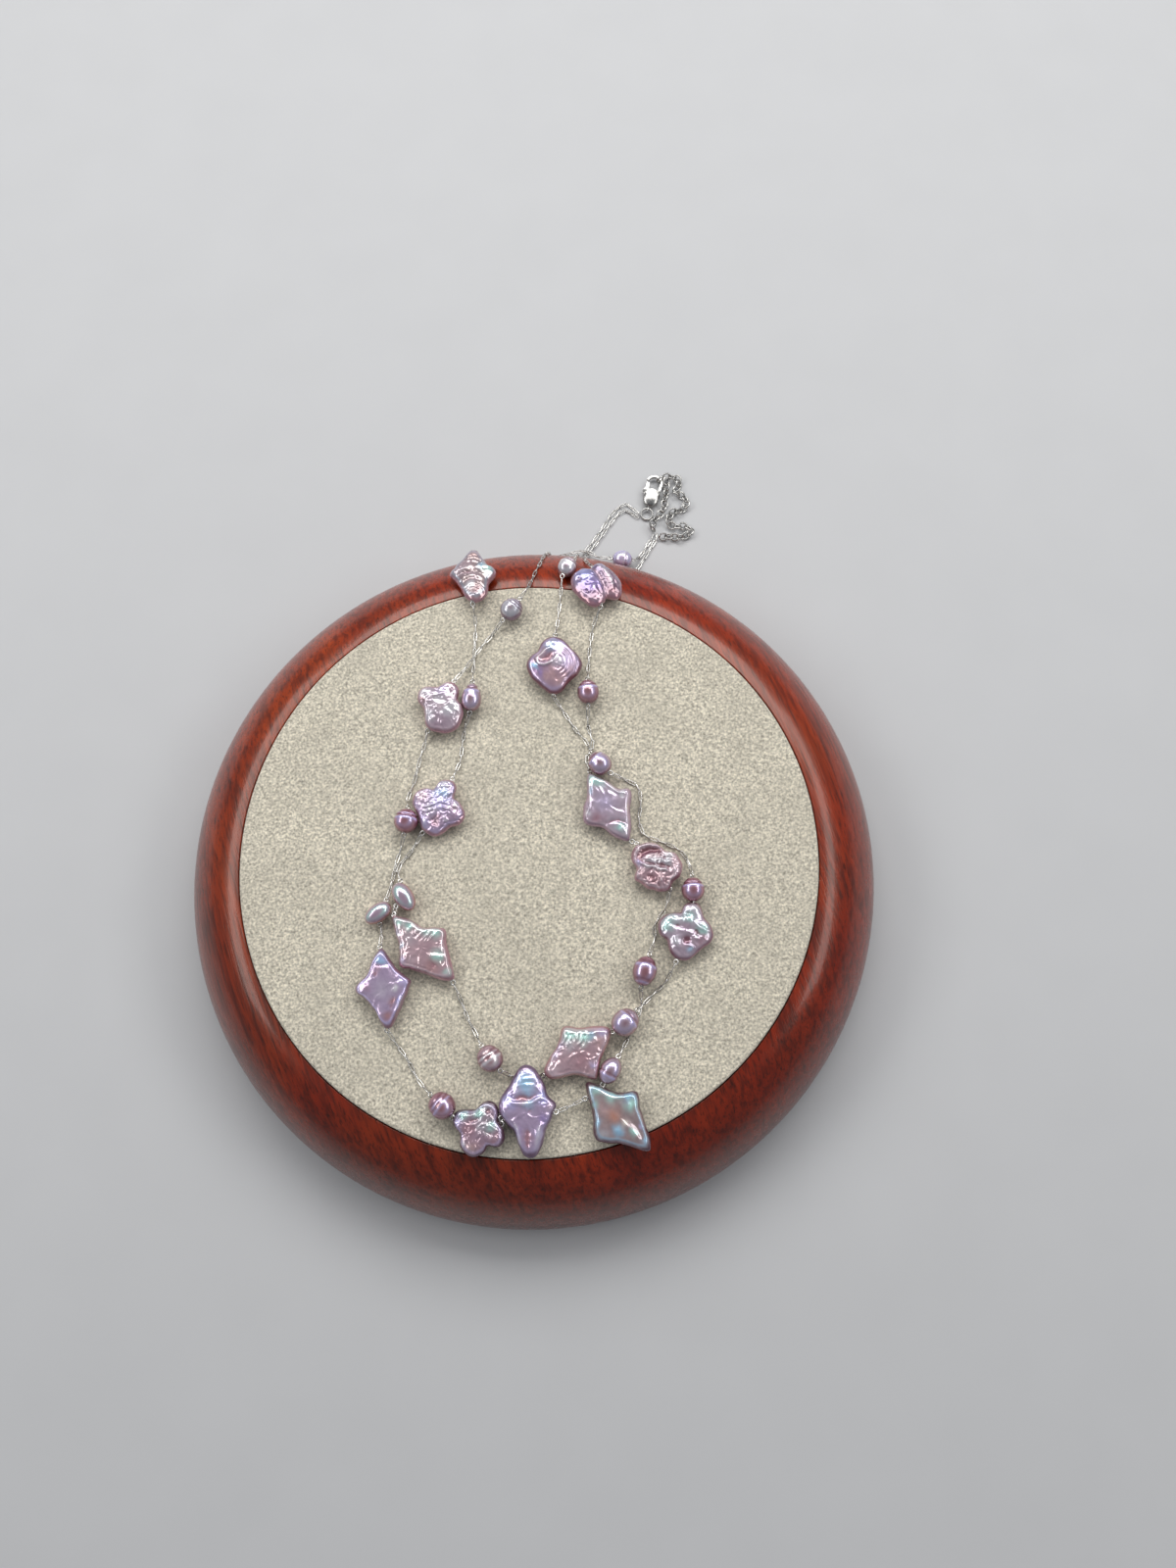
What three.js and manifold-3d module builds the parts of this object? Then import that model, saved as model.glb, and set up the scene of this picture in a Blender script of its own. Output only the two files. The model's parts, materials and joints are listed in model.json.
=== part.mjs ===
// A double-strand pearl necklace lying on its round wooden display stand.
// Millimetres, +Z up. The origin is the centre of the stand's flat underside, and +Y runs to the back,
// where the clasp and the extender chain lie on the surface that the stand rests on.
import * as THREE from "three";
import { mergeVertices } from "three/addons/utils/BufferGeometryUtils.js";
import Module from "manifold-3d";

const wasm = await Module();
wasm.setup();

// The stand: a turned wooden disc with a round nose, and a suede-covered pad let into its top.
const PAD_RADIUS = 77;
const PAD_TOP = 29;
const PAD_THICKNESS = 2.6;
const PAD_EDGE_ROUND = 0.5;
const WOOD_RADIUS = 96;
const WOOD_TOP = 28;
const NOSE_BOTTOM = 5; // height of the widest line of the disc
const NOSE_POWER = 1.8; // 2 would be an ellipse; less is a little straighter
const FOOT_RADIUS = 88;
const STAND_SIDES = 64;
const FOOT_TURNS = [0.5, 0.85]; // shares of the quarter turn from the foot up to the widest line
const NOSE_TURNS = [0, 0.12, 0.26, 0.42, 0.6, 0.8, 1]; // and from there up to the pad

// Gaps between pieces that touch on the real object.
const SEAT_GAP = 0.3;
const REST_GAP = 0.2;

// The fine chain, the holes in the pearls, and the wire of the rings.
const CHAIN_RADIUS = 0.4;
const CHAIN_SIDES = 8;
const CHAIN_LIFT = CHAIN_RADIUS + 0.15;
const HOLE_RADIUS = 0.75;
const EYE_REACH = 0.6; // how far the thread runs straight on beyond each end of a hole
const NEAR_PEARLS = 2.4; // mouths closer than this are joined by a straight piece of chain
const LANDING = 4.5; // run in which the chain falls from a hole to the surface
const SPLIT_GAP = 0.3;
const EDGE_SLOPE = 0.5; // fall of what bridges the step from the pad down to the wood
const MOUTH_STEP = 0.1; // how finely the mouths of a hole are sought
const TOP_SHARES = [1, 0.8, 0.6, 0.4, 0.2, 0]; // where a chain bends on its way down the nose
const UNDER_NOSE = 0.25; // and how far out it has come once it is below the widest line
const EXTENDER_RADIUS = 0.8;
const EXTENDER_LIFT = EXTENDER_RADIUS + 0.1;

// The pearls: how finely their spheres are cut, how flat a shaped one stays towards its edge (1 would be a
// plain oval), and how far the drill runs past both mouths together.
const SHAPED_CUTS = [24, 6];
const SMALL_CUTS = [12, 7];
const CUSHION_POWER = 0.6;
const DRILL_OVERRUN = 2;

// The rings: sides of the wire, and pieces round the ring.
const RING_CUTS = [6, 14];

const MATERIALS = {
  wood: { color: 0x7a2e1c, roughness: 0.35, metalness: 0 },
  suede: { color: 0xcdbf9f, roughness: 0.95, metalness: 0 },
  mauve: { color: 0xb58fa6, roughness: 0.25, metalness: 0 },
  rose: { color: 0xc9929c, roughness: 0.25, metalness: 0 },
  lavender: { color: 0xaf9fce, roughness: 0.25, metalness: 0 },
  grey: { color: 0xbfbdc2, roughness: 0.25, metalness: 0 },
  silver: { color: 0xc9c8c6, roughness: 0.25, metalness: 1 },
};

// Small round, oval and drop-shaped pearls, in their order along the strands. length and width are along
// and across the long axis, turn is that axis's bearing, and slope is how much it falls towards the turn.
// thread is the bearing of the hole where it isn't the long axis, and along moves the hole to one end.
const SMALL_PEARLS = [
  { name: "pearl_small_01", x: 9.7, y: 83.0, length: 5.8, width: 4.9, turn: 62, slope: 22, colour: "grey" },
  { name: "pearl_small_02", x: 19.0, y: 24.6, length: 6.2, width: 5.6, turn: 133 },
  { name: "pearl_small_03", x: 43.4, y: -9.5, length: 6.0, width: 5.6, turn: 90 },
  { name: "pearl_small_04", x: 25.7, y: -43.5, length: 6.9, width: 6.3, turn: 44 },
  { name: "pearl_small_05", x: -8.4, y: -52.6, length: 6.4, width: 6.1, turn: 127, colour: "rose" },
  {
    name: "pearl_small_06", x: -32.1, y: -11.5,
    length: 7.8, width: 4.7, turn: 126, thread: 82, along: 2.1, colour: "grey",
  },
  { name: "pearl_small_07", x: -16.0, y: 43.4, length: 7.4, width: 4.9, turn: 88 },
  { name: "pearl_small_08", x: 15.8, y: 44.8, length: 6.3, width: 5.5, turn: 92, colour: "rose" },
  { name: "pearl_small_09", x: 30.7, y: -30.6, length: 7.2, width: 5.8, turn: 74, colour: "rose" },
  { name: "pearl_small_10", x: 21.9, y: -55.4, length: 6.5, width: 4.8, turn: 60 },
  { name: "pearl_small_11", x: -20.1, y: -64.1, length: 6.5, width: 6.2, turn: 140, colour: "rose" },
  {
    name: "pearl_small_12", x: -38.7, y: -15.8,
    length: 7.2, width: 4.4, turn: 36, thread: 76, along: 1.7, colour: "grey",
  },
  { name: "pearl_small_13", x: -32.3, y: 8.7, length: 6.1, width: 6.0, turn: 84 },
  { name: "pearl_small_14", x: -5.6, y: 68.9, length: 6.0, width: 5.7, turn: 53 },
  { name: "pearl_small_15", x: 25.5, y: 97.6, length: 5.6, width: 5.2, turn: -8, colour: "lavender" },
];

// Shaped pearls with four points. Each tip is [bearing, reach]. waist is how far the sides pull in between
// the tips, and lobe is how round the tips are. lean tips the outer side down over the stand's nose, raise
// lifts a pearl that lies on a chain, thread is the bearing of the hole, and threadX, threadY move it off the
// centre.
const SHAPED_PEARLS = [
  {
    name: "pearl_flower_01", x: 6.3, y: 52.9, thick: 4.6,
    thread: 88, waist: 0.17, lobe: 1.6, colour: "lavender",
    tips: [[5, 7.5], [86, 7.8], [182, 6.8], [278, 8.0]],
  },
  {
    name: "pearl_flower_02", x: 41.2, y: -19.8, thick: 4.4,
    thread: 255, waist: 0.3, lobe: 2.2, colour: "mauve",
    tips: [[-4, 7.1], [70, 6.8], [170, 6.6], [259, 7.4]],
  },
  {
    name: "pearl_flower_03", x: -24.1, y: 13.1, thick: 4.6,
    thread: 63, waist: 0.25, lobe: 2.0, colour: "lavender",
    tips: [[-21, 7.2], [68, 7.2], [165, 7.0], [266, 7.4]],
  },
  {
    name: "pearl_star", x: -16.8, y: 80.6, thick: 4.6,
    lean: 18, thread: 92, waist: 0.34, lobe: 1.0, colour: "rose",
    tips: [[20, 6.2], [93, 8.2], [176, 6.4], [272, 8.8]],
  },
  {
    name: "pearl_flower_04", x: 17.9, y: 78.2, thick: 4.8,
    lean: 17, thread: 100, waist: 0.24, lobe: 2.0, colour: "lavender",
    tips: [[-13, 7.4], [82, 6.6], [172, 6.6], [268, 7.2]],
  },
  {
    name: "pearl_flower_05", x: 33.8, y: -3.3, thick: 4.8,
    thread: 306, waist: 0.2, lobe: 1.8, colour: "rose",
    tips: [[29, 6.5], [137, 7.3], [203, 6.0], [295, 7.1]],
  },
  {
    name: "pearl_flower_06", x: -11.0, y: -69.4, thick: 4.2,
    thread: 173, threadY: 0.9, waist: 0.27, lobe: 2.0, colour: "rose",
    tips: [[-26, 7.1], [69, 6.4], [158, 6.4], [253, 7.0]],
  },
  {
    name: "pearl_flower_07", x: -24.6, y: 40.8, thick: 4.6,
    thread: 65, waist: 0.24, lobe: 2.0, colour: "rose",
    tips: [[-14, 5.9], [71, 7.3], [150, 6.3], [263, 6.8]],
  },
  {
    name: "pearl_diamond_01", x: 14.0, y: -51.0, thick: 4.6,
    thread: 34, waist: 0.38, lobe: 1.0, colour: "rose",
    tips: [[35, 9.8], [122, 7.5], [212, 10.3], [308, 7.6]],
  },
  {
    name: "pearl_diamond_02", x: -27.0, y: -24.7, thick: 4.4,
    thread: 315, waist: 0.34, lobe: 1.0, colour: "rose",
    tips: [[40, 7.5], [135, 11.2], [220, 8.0], [315, 11.6]],
  },
  {
    name: "pearl_diamond_03", x: 21.4, y: 13.1, thick: 4.4,
    thread: 300, waist: 0.36, lobe: 1.0, colour: "mauve",
    tips: [[32, 7.4], [121, 10.0], [212, 7.6], [299, 11.2]],
  },
  {
    name: "pearl_diamond_04", x: 24.2, y: -66.7, thick: 4.6,
    thread: 216, threadX: -6.2, threadY: 6.0, waist: 0.38, lobe: 1.0, colour: "mauve",
    tips: [[51, 7.7], [134, 11.4], [218, 7.7], [309, 10.9]],
  },
  {
    name: "pearl_diamond_05", x: 1.2, y: -65.6, thick: 4.8,
    raise: 0.25, thread: 182, threadY: -0.4, waist: 0.36, lobe: 1.1, colour: "lavender",
    tips: [[16, 7.6], [95, 11.5], [167, 7.4], [276, 10.8]],
  },
  {
    name: "pearl_diamond_06", x: -36.6, y: -35.3, thick: 4.2,
    thread: 97, waist: 0.37, lobe: 1.0, colour: "lavender",
    tips: [[18, 7.3], [96, 10.3], [184, 7.1], [280, 10.1]],
  },
];

// The two strands, from the clasp's jump ring round to the connector ring. A row is a point that the chain
// passes, at rest on what lies below it unless z is given, or a pearl that it runs through. The strand is a
// new solid after each pearl with split, where the chain ends inside the pearl's hole.
const STRANDS = [
  {
    name: "strand_1",
    stretches: ["right", "front", "left", "back"],
    route: [
      { x: 30.6, y: 114.3 }, { x: 28.5, y: 116.2 }, { x: 26.2, y: 117.3 }, { x: 22.6, y: 114.6 },
      { x: 19.4, y: 109.4 }, { x: 16.4, y: 104.8 }, { x: 14.0, y: 101.4 },
      { nose: [[12.6, 99.2], [11.5, 88.4]] },
      { pearl: "pearl_small_01" },
      { x: 7.9, y: 74.2 }, { x: 7.2, y: 66.5 },
      { pearl: "pearl_flower_01" },
      { x: 8.6, y: 40.6 }, { x: 12.4, y: 34.8 }, { x: 15.2, y: 31.4 },
      { pearl: "pearl_small_02" },
      { x: 26.0, y: 20.6 }, { x: 29.2, y: 18.6 }, { x: 30.0, y: 14.4 }, { x: 29.6, y: 9.4 },
      { x: 31.0, y: 5.6 }, { x: 34.4, y: 4.0 }, { x: 39.8, y: 1.6 }, { x: 42.4, y: -1.8 },
      { pearl: "pearl_small_03" },
      { pearl: "pearl_flower_02" },
      { x: 36.3, y: -32.8 }, { x: 32.6, y: -36.6 },
      { pearl: "pearl_small_04", split: true },
      { pearl: "pearl_diamond_01" },
      { x: 2.4, y: -57.0 }, { x: -2.8, y: -56.8 },
      { pearl: "pearl_small_05" },
      { x: -14.5, y: -42.8 }, { x: -16.4, y: -38.2 },
      { pearl: "pearl_diamond_02", split: true },
      { pearl: "pearl_small_06" },
      { x: -34.1, y: -3.6 }, { x: -31.4, y: 0.4 },
      { pearl: "pearl_flower_03" },
      { x: -18.7, y: 26.4 }, { x: -17.9, y: 34.2 },
      { pearl: "pearl_small_07" },
      { x: -15.9, y: 53.0 }, { x: -15.8, y: 58.0 }, { x: -15.8, y: 65.6 },
      { pearl: "pearl_star", split: true },
      { nose: [[-17.2, 91.6], [-16.2, 98.0]] },
      { x: -12.0, y: 98.0, floor: true }, { x: -5.0, y: 96.0, floor: true }, { x: 2.0, y: 94.9, floor: true },
      { x: 9.0, y: 94.4, floor: true }, { x: 15.0, y: 93.8, floor: true }, { x: 21.0, y: 92.8, floor: true },
      { x: 26.6, y: 92.6, floor: true }, { x: 30.0, y: 95.4, floor: true }, { x: 32.2, y: 98.9 },
      { x: 34.4, y: 102.6 }, { x: 36.0, y: 105.6 }, { x: 36.2, y: 107.3 },
    ],
  },
  {
    name: "strand_2",
    stretches: ["right", "front", "left", "back"],
    route: [
      { x: 30.6, y: 112.9 }, { x: 26.4, y: 115.1 }, { x: 23.4, y: 113.0 }, { x: 20.4, y: 108.6 },
      { x: 17.4, y: 104.0 }, { x: 15.2, y: 100.8 },
      { nose: [[14.1, 99.0], [14.4, 88.6]] },
      { pearl: "pearl_flower_04" },
      { x: 17.2, y: 65.0 }, { x: 16.2, y: 58.0 }, { x: 15.8, y: 52.6 },
      { pearl: "pearl_small_08" },
      { x: 15.8, y: 36.2 }, { x: 17.0, y: 30.6 }, { x: 15.6, y: 26.6 },
      { pearl: "pearl_diamond_03" },
      { pearl: "pearl_flower_05" },
      { x: 36.2, y: -14.2 }, { x: 33.5, y: -18.4 }, { x: 33.4, y: -22.0 },
      { pearl: "pearl_small_09", split: true },
      { x: 29.8, y: -38.4 }, { x: 29.3, y: -40.8 }, { x: 28.5, y: -43.6 }, { x: 26.8, y: -46.8 },
      { pearl: "pearl_small_10" },
      { pearl: "pearl_diamond_04" },
      { x: 11.6, y: -64.2, z: 30.6 },
      { pearl: "pearl_diamond_05" },
      { pearl: "pearl_flower_06" },
      { pearl: "pearl_small_11" },
      { x: -26.6, y: -58.0 }, { x: -29.9, y: -52.6 }, { x: -32.4, y: -49.4 },
      { pearl: "pearl_diamond_06", split: true },
      { x: -37.9, y: -20.6 },
      { pearl: "pearl_small_12" },
      { x: -35.6, y: -6.4 }, { x: -34.8, y: -2.0 },
      { pearl: "pearl_small_13" },
      { x: -32.5, y: 15.4 }, { x: -31.2, y: 19.4 }, { x: -29.6, y: 27.0 },
      { pearl: "pearl_flower_07" },
      { x: -18.2, y: 52.2, z: 30.0 }, { x: -15.9, y: 55.3, z: 30.6 }, { x: -13.4, y: 59.2, z: 30.0 },
      { x: -11.0, y: 62.4 },
      { pearl: "pearl_small_14", split: true },
      { x: -0.8, y: 77.6 }, { x: 0.4, y: 81.8 }, { x: 1.1, y: 84.0 },
      { nose: [[1.8, 86.2], [4.6, 99.4]] },
      { x: 8.0, y: 100.2, z: 0.8 }, { x: 11.2, y: 100.8, z: 1.5 }, { x: 13.4, y: 101.0, z: 1.7 },
      { x: 15.8, y: 100.4, z: 1.5 }, { x: 18.0, y: 99.2, z: 1.4 },
      { pearl: "pearl_small_15" },
      { x: 31.0, y: 99.8 }, { x: 33.2, y: 103.4 }, { x: 34.7, y: 105.8 }, { x: 34.9, y: 107.2 },
    ],
  },
];

// The clasp lies flat, with its hook towards the back. Its own frame has v from the tail to the hook.
const CLASP = {
  x: 33.75, y: 116.3, turn: -13, thickness: 2.4, lift: 0.1,
  bodyU: 0.1, bodyV: 2.9, bodyHalfWidth: 2.45, bodyHalfLength: 2.9,
  hookV: 8.1, hookOuter: 2.7, hookInner: 1.9, hookThickness: 0.9, hookStart: -10, hookEnd: 165,
  pivotU: -1.3, pivotV: 3.4, pivotSides: 10, pinRadius: 0.38, pinInset: 0.1,
  leverHole: 0.52, knuckle: 0.95, leverThickness: 0.9,
  tailV: -0.65, tailRadius: 0.9, tailWire: 0.22, tailDrop: 0.05,
  armThickness: 1.6,
  arm: [[0.9, 3.4], [2.5, 2.6], [2.7, 8.1], [1.9, 8.1], [1.7, 5.4]],
  slotThickness: 1.2,
  slot: [[-1.3, 1.9], [0, 2.8], [0.5, 6.3], [-3.7, 6.3], [-3.7, 2.2]],
  gate: [
    [-0.75, 4.1], [-1.2, 6.2], [-1.3, 7.95], [-2.4, 8.15],
    [-2.5, 6.1], [-3.1, 5.4], [-2.95, 4.6], [-2.15, 3.5],
  ],
};
const PLATE_CUTS = 14; // pieces of each curve of its outlines
const CLASP_MIDDLE = CLASP.lift + CLASP.thickness / 2;

// The rings at the ends of the strands: middle radius, wire radius, and the tilt of the ring and its bearing.
const RINGS = [
  { name: "clasp_jump_ring", x: 33.2, y: 113.9, z: 0.8, radius: 1.75, wire: 0.3, turn: 77, tilt: 12 },
  { name: "connector_ring", x: 34.9, y: 108.9, z: 1.6, radius: 1.2, wire: 0.3, turn: 32, tilt: 90 },
  { name: "extender_hooked_link", x: 37.5, y: 125.4, z: 1.6, radius: 1.25, wire: 0.25, turn: 122, tilt: 90 },
];

// The extender chain: from the connector ring up to the link in the clasp's hook, and the free end beyond it,
// which lies in a small pile. Its round links are drawn together as one tube.
const EXTENDERS = [
  {
    name: "extender_chain",
    route: [
      { x: 35.0, y: 110.8 }, { x: 36.4, y: 112.6 }, { x: 37.8, y: 114.3 }, { x: 38.6, y: 116.3 },
      { x: 38.8, y: 118.4 }, { x: 39.2, y: 120.6 }, { x: 39.5, y: 122.6 }, { x: 39.4, y: 124.8, z: 1.3 },
    ],
  },
  {
    name: "extender_tail",
    route: [
      { x: 39.5, y: 126.3, z: 1.3 }, { x: 41.5, y: 126.4 }, { x: 43.2, y: 125.4 }, { x: 43.1, y: 123.3 },
      { x: 42.1, y: 121.4 }, { x: 43.8, y: 120.2 }, { x: 45.4, y: 118.5 }, { x: 45.2, y: 116.2 },
      { x: 43.4, y: 114.8 }, { x: 41.3, y: 114.4 }, { x: 40.2, y: 112.5 }, { x: 40.3, y: 110.2 },
      { x: 42.5, y: 109.4 }, { x: 44.8, y: 109.5 }, { x: 46.8, y: 108.2 }, { x: 45.3, y: 106.4 },
      { x: 42.9, y: 105.8 }, { x: 40.5, y: 106.1 }, { x: 38.2, y: 106.0 },
    ],
  },
];

const radians = THREE.MathUtils.degToRad;
const lerp = THREE.MathUtils.lerp;

// A point of the stand's nose, grown by lift: [radius, height]. Its turn is 0 where the disc is widest and 1
// at the top.
function nosePoint(turn, lift) {
  const angle = turn * Math.PI / 2;
  return [
    PAD_RADIUS + (WOOD_RADIUS + lift - PAD_RADIUS) * Math.cos(angle) ** (2 / NOSE_POWER),
    NOSE_BOTTOM + (WOOD_TOP + lift - NOSE_BOTTOM) * Math.sin(angle) ** (2 / NOSE_POWER),
  ];
}

// The turn at which the grown nose has a radius: the inverse of nosePoint.
function noseTurn(radius, lift) {
  const across = (radius - PAD_RADIUS) / (WOOD_RADIUS + lift - PAD_RADIUS);
  return Math.acos(across ** (NOSE_POWER / 2)) / (Math.PI / 2);
}

// Height at which something rests on the stand's top or nose, or beside the stand, with its lift above them.
// Just outside the pad it still leans on the pad's edge, and comes down to the wood on EDGE_SLOPE.
function restHeight(radius, lift) {
  if (radius <= PAD_RADIUS) return PAD_TOP + lift;
  if (radius >= WOOD_RADIUS + lift) return lift;
  const bridge = PAD_TOP + lift - EDGE_SLOPE * Math.max(radius - PAD_RADIUS - PAD_EDGE_ROUND, 0);
  return Math.max(bridge, nosePoint(noseTurn(radius, lift), lift)[1]);
}

function turned(profile, sides) {
  const points = profile.map(([radius, height]) => new THREE.Vector2(radius, height));
  return new THREE.LatheGeometry(points, sides).rotateX(Math.PI / 2);
}

// A closed geometry as a solid that can be joined and cut. Triangles that shrink to a line are dropped.
function solidOf(geometry) {
  const plain = geometry.clone();
  plain.deleteAttribute("normal");
  plain.deleteAttribute("uv");
  const merged = mergeVertices(plain, 1e-4);
  const corners = [];
  for (let i = 0; i < merged.index.count; i += 3) {
    const [a, b, c] = [0, 1, 2].map((k) => merged.index.getX(i + k));
    if (a !== b && b !== c && c !== a) corners.push(a, b, c);
  }
  const mesh = new wasm.Mesh({
    numProp: 3,
    vertProperties: new Float32Array(merged.attributes.position.array),
    triVerts: new Uint32Array(corners),
  });
  return new wasm.Manifold(mesh);
}

function geometryOf(solid) {
  const mesh = solid.getMesh();
  const geometry = new THREE.BufferGeometry();
  geometry.setAttribute("position", new THREE.BufferAttribute(mesh.vertProperties, 3));
  geometry.setIndex(new THREE.BufferAttribute(mesh.triVerts, 1));
  return geometry;
}

function addMesh(parent, name, geometry, material) {
  const mesh = new THREE.Mesh(geometry, new THREE.MeshStandardMaterial(MATERIALS[material]));
  mesh.name = name;
  parent.add(mesh);
  return mesh;
}

function addStand(parent) {
  const seat = PAD_TOP - PAD_THICKNESS - SEAT_GAP;
  const foot = FOOT_TURNS.map((turn) => [
    FOOT_RADIUS + (WOOD_RADIUS - FOOT_RADIUS) * Math.sin(turn * Math.PI / 2),
    NOSE_BOTTOM * (1 - Math.cos(turn * Math.PI / 2)),
  ]);
  const nose = NOSE_TURNS.map((turn) => nosePoint(turn, 0));
  nose[nose.length - 1][0] = PAD_RADIUS + SEAT_GAP;
  const wood = [[0, 0], [FOOT_RADIUS, 0], ...foot, ...nose, [PAD_RADIUS + SEAT_GAP, seat], [0, seat]];
  addMesh(parent, "wood_base", turned(wood, STAND_SIDES), "wood");

  const under = PAD_TOP - PAD_THICKNESS;
  const pad = [
    [0, under],
    [PAD_RADIUS, under],
    [PAD_RADIUS, PAD_TOP - PAD_EDGE_ROUND],
    [PAD_RADIUS - PAD_EDGE_ROUND, PAD_TOP],
    [0, PAD_TOP],
  ];
  addMesh(parent, "suede_pad", turned(pad, STAND_SIDES), "suede");
}

// Reach of a shaped pearl's outline at a bearing: from tip to tip, pulled in between them.
function outlineReach(pearl, bearing) {
  const tips = pearl.tips;
  for (let i = 0; i < tips.length; i++) {
    const [from, reachFrom] = tips[i];
    const [next, reachTo] = tips[(i + 1) % tips.length];
    const gap = (next - from + 360) % 360;
    const past = (((bearing - from) % 360) + 360) % 360;
    if (past <= gap) {
      const share = past / gap;
      const eased = share * share * (3 - 2 * share);
      const pull = pearl.waist * Math.sin(Math.PI * share) ** pearl.lobe;
      return (reachFrom + (reachTo - reachFrom) * eased) * (1 - pull);
    }
  }
  return 0;
}

// A shaped pearl: a sphere drawn out to its outline and flattened like a cushion.
function shapedGeometry(pearl) {
  const geometry = new THREE.SphereGeometry(1, ...SHAPED_CUTS).rotateX(Math.PI / 2);
  const place = geometry.attributes.position;
  for (let i = 0; i < place.count; i++) {
    const spread = Math.min(Math.hypot(place.getX(i), place.getY(i)), 1);
    const bearing = Math.atan2(place.getY(i), place.getX(i));
    const reach = outlineReach(pearl, THREE.MathUtils.radToDeg(bearing)) * spread ** CUSHION_POWER;
    place.setXYZ(i, reach * Math.cos(bearing), reach * Math.sin(bearing), place.getZ(i) * pearl.thick / 2);
  }
  return geometry;
}

// A small pearl: an oval turned about its long axis, X.
function smallGeometry(pearl) {
  const geometry = new THREE.SphereGeometry(0.5, ...SMALL_CUTS).rotateZ(-Math.PI / 2);
  return geometry.scale(pearl.length, pearl.width, pearl.width);
}

// Where a pearl lies, and the line of its hole: middle, direction and half-length, in the stand's frame.
function placePearl(pearl) {
  const small = pearl.length !== undefined;
  const height = small ? pearl.width : pearl.thick;
  const bearingOut = Math.atan2(pearl.y, pearl.x);
  const place = new THREE.Matrix4();
  const middle = new THREE.Vector3(pearl.x, pearl.y, 0);
  middle.z = restHeight(Math.hypot(pearl.x, pearl.y), height / 2 + REST_GAP) + (pearl.raise ?? 0);
  if (small) {
    place.makeRotationZ(radians(pearl.turn));
    place.multiply(new THREE.Matrix4().makeRotationY(radians(pearl.slope ?? 0)));
  } else if (pearl.lean) {
    const axis = new THREE.Vector3(-Math.sin(bearingOut), Math.cos(bearingOut), 0);
    place.makeRotationAxis(axis, radians(pearl.lean));
  }
  place.setPosition(middle);

  const bearing = radians(small ? (pearl.thread ?? pearl.turn) - pearl.turn : pearl.thread);
  const along = new THREE.Vector3(Math.cos(bearing), Math.sin(bearing), 0);
  const offset = new THREE.Vector3(pearl.along ?? pearl.threadX ?? 0, pearl.threadY ?? 0, 0);
  const inside = (point) => {
    if (small) return (2 * point.x / pearl.length) ** 2 + (2 * point.y / pearl.width) ** 2 < 1;
    return point.length() < outlineReach(pearl, THREE.MathUtils.radToDeg(Math.atan2(point.y, point.x)));
  };
  const edge = (sign) => {
    const point = offset.clone();
    while (inside(point)) point.addScaledVector(along, sign * MOUTH_STEP);
    return point;
  };
  return { place, ends: [edge(-1), edge(1)], along };
}

function addPearls(parent) {
  const threads = new Map();
  for (const pearl of [...SMALL_PEARLS, ...SHAPED_PEARLS]) {
    const small = pearl.length !== undefined;
    const { place, ends, along } = placePearl(pearl);
    const span = ends[0].distanceTo(ends[1]) + DRILL_OVERRUN;
    const drill = new THREE.CylinderGeometry(HOLE_RADIUS, HOLE_RADIUS, span, CHAIN_SIDES);
    drill.rotateZ(Math.PI / 2 + Math.atan2(along.y, along.x));
    const middle = ends[0].clone().add(ends[1]).multiplyScalar(0.5);
    drill.translate(middle.x, middle.y, 0);
    const body = solidOf(small ? smallGeometry(pearl) : shapedGeometry(pearl));
    const geometry = geometryOf(body.subtract(solidOf(drill)));
    const mesh = addMesh(parent, pearl.name, geometry, pearl.colour ?? "mauve");
    mesh.applyMatrix4(place);
    threads.set(pearl.name, ends.map((end) => end.applyMatrix4(place)));
  }
  return threads;
}

// A route whose steps fall on its own stations, so a tube along it stays straight inside each pearl.
class StationRoute extends THREE.Curve {
  constructor(stations) {
    super();
    this.stations = stations;
  }

  getPoint(t, target = new THREE.Vector3()) {
    const place = t * (this.stations.length - 1);
    const before = Math.min(Math.floor(place + 1e-6), this.stations.length - 2);
    return target.lerpVectors(this.stations[before], this.stations[before + 1], place - before);
  }

  getPointAt(u, target) {
    return this.getPoint(u, target);
  }

  getTangentAt(u, target = new THREE.Vector3()) {
    const last = this.stations.length - 1;
    const here = Math.round(u * last);
    const before = Math.max(here - 1, 0);
    const after = Math.min(here + 1, last);
    const into = this.stations[Math.max(here, 1)].clone().sub(this.stations[before]).normalize();
    const outOf = this.stations[after].clone().sub(this.stations[Math.min(here, last - 1)]).normalize();
    return target.copy(into).add(outOf).normalize();
  }
}

function tube(stations, radius) {
  const section = new THREE.Shape();
  for (let i = 0; i < CHAIN_SIDES; i++) {
    const angle = (i / CHAIN_SIDES) * 2 * Math.PI;
    const point = [radius * Math.cos(angle), radius * Math.sin(angle)];
    if (i === 0) section.moveTo(...point);
    else section.lineTo(...point);
  }
  const extrudePath = new StationRoute(stations);
  return new THREE.ExtrudeGeometry(section, { steps: stations.length - 1, extrudePath });
}

function freePoint(row, lift) {
  const height = row.floor ? lift : restHeight(Math.hypot(row.x, row.y), lift);
  return new THREE.Vector3(row.x, row.y, row.z ?? height);
}

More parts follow.
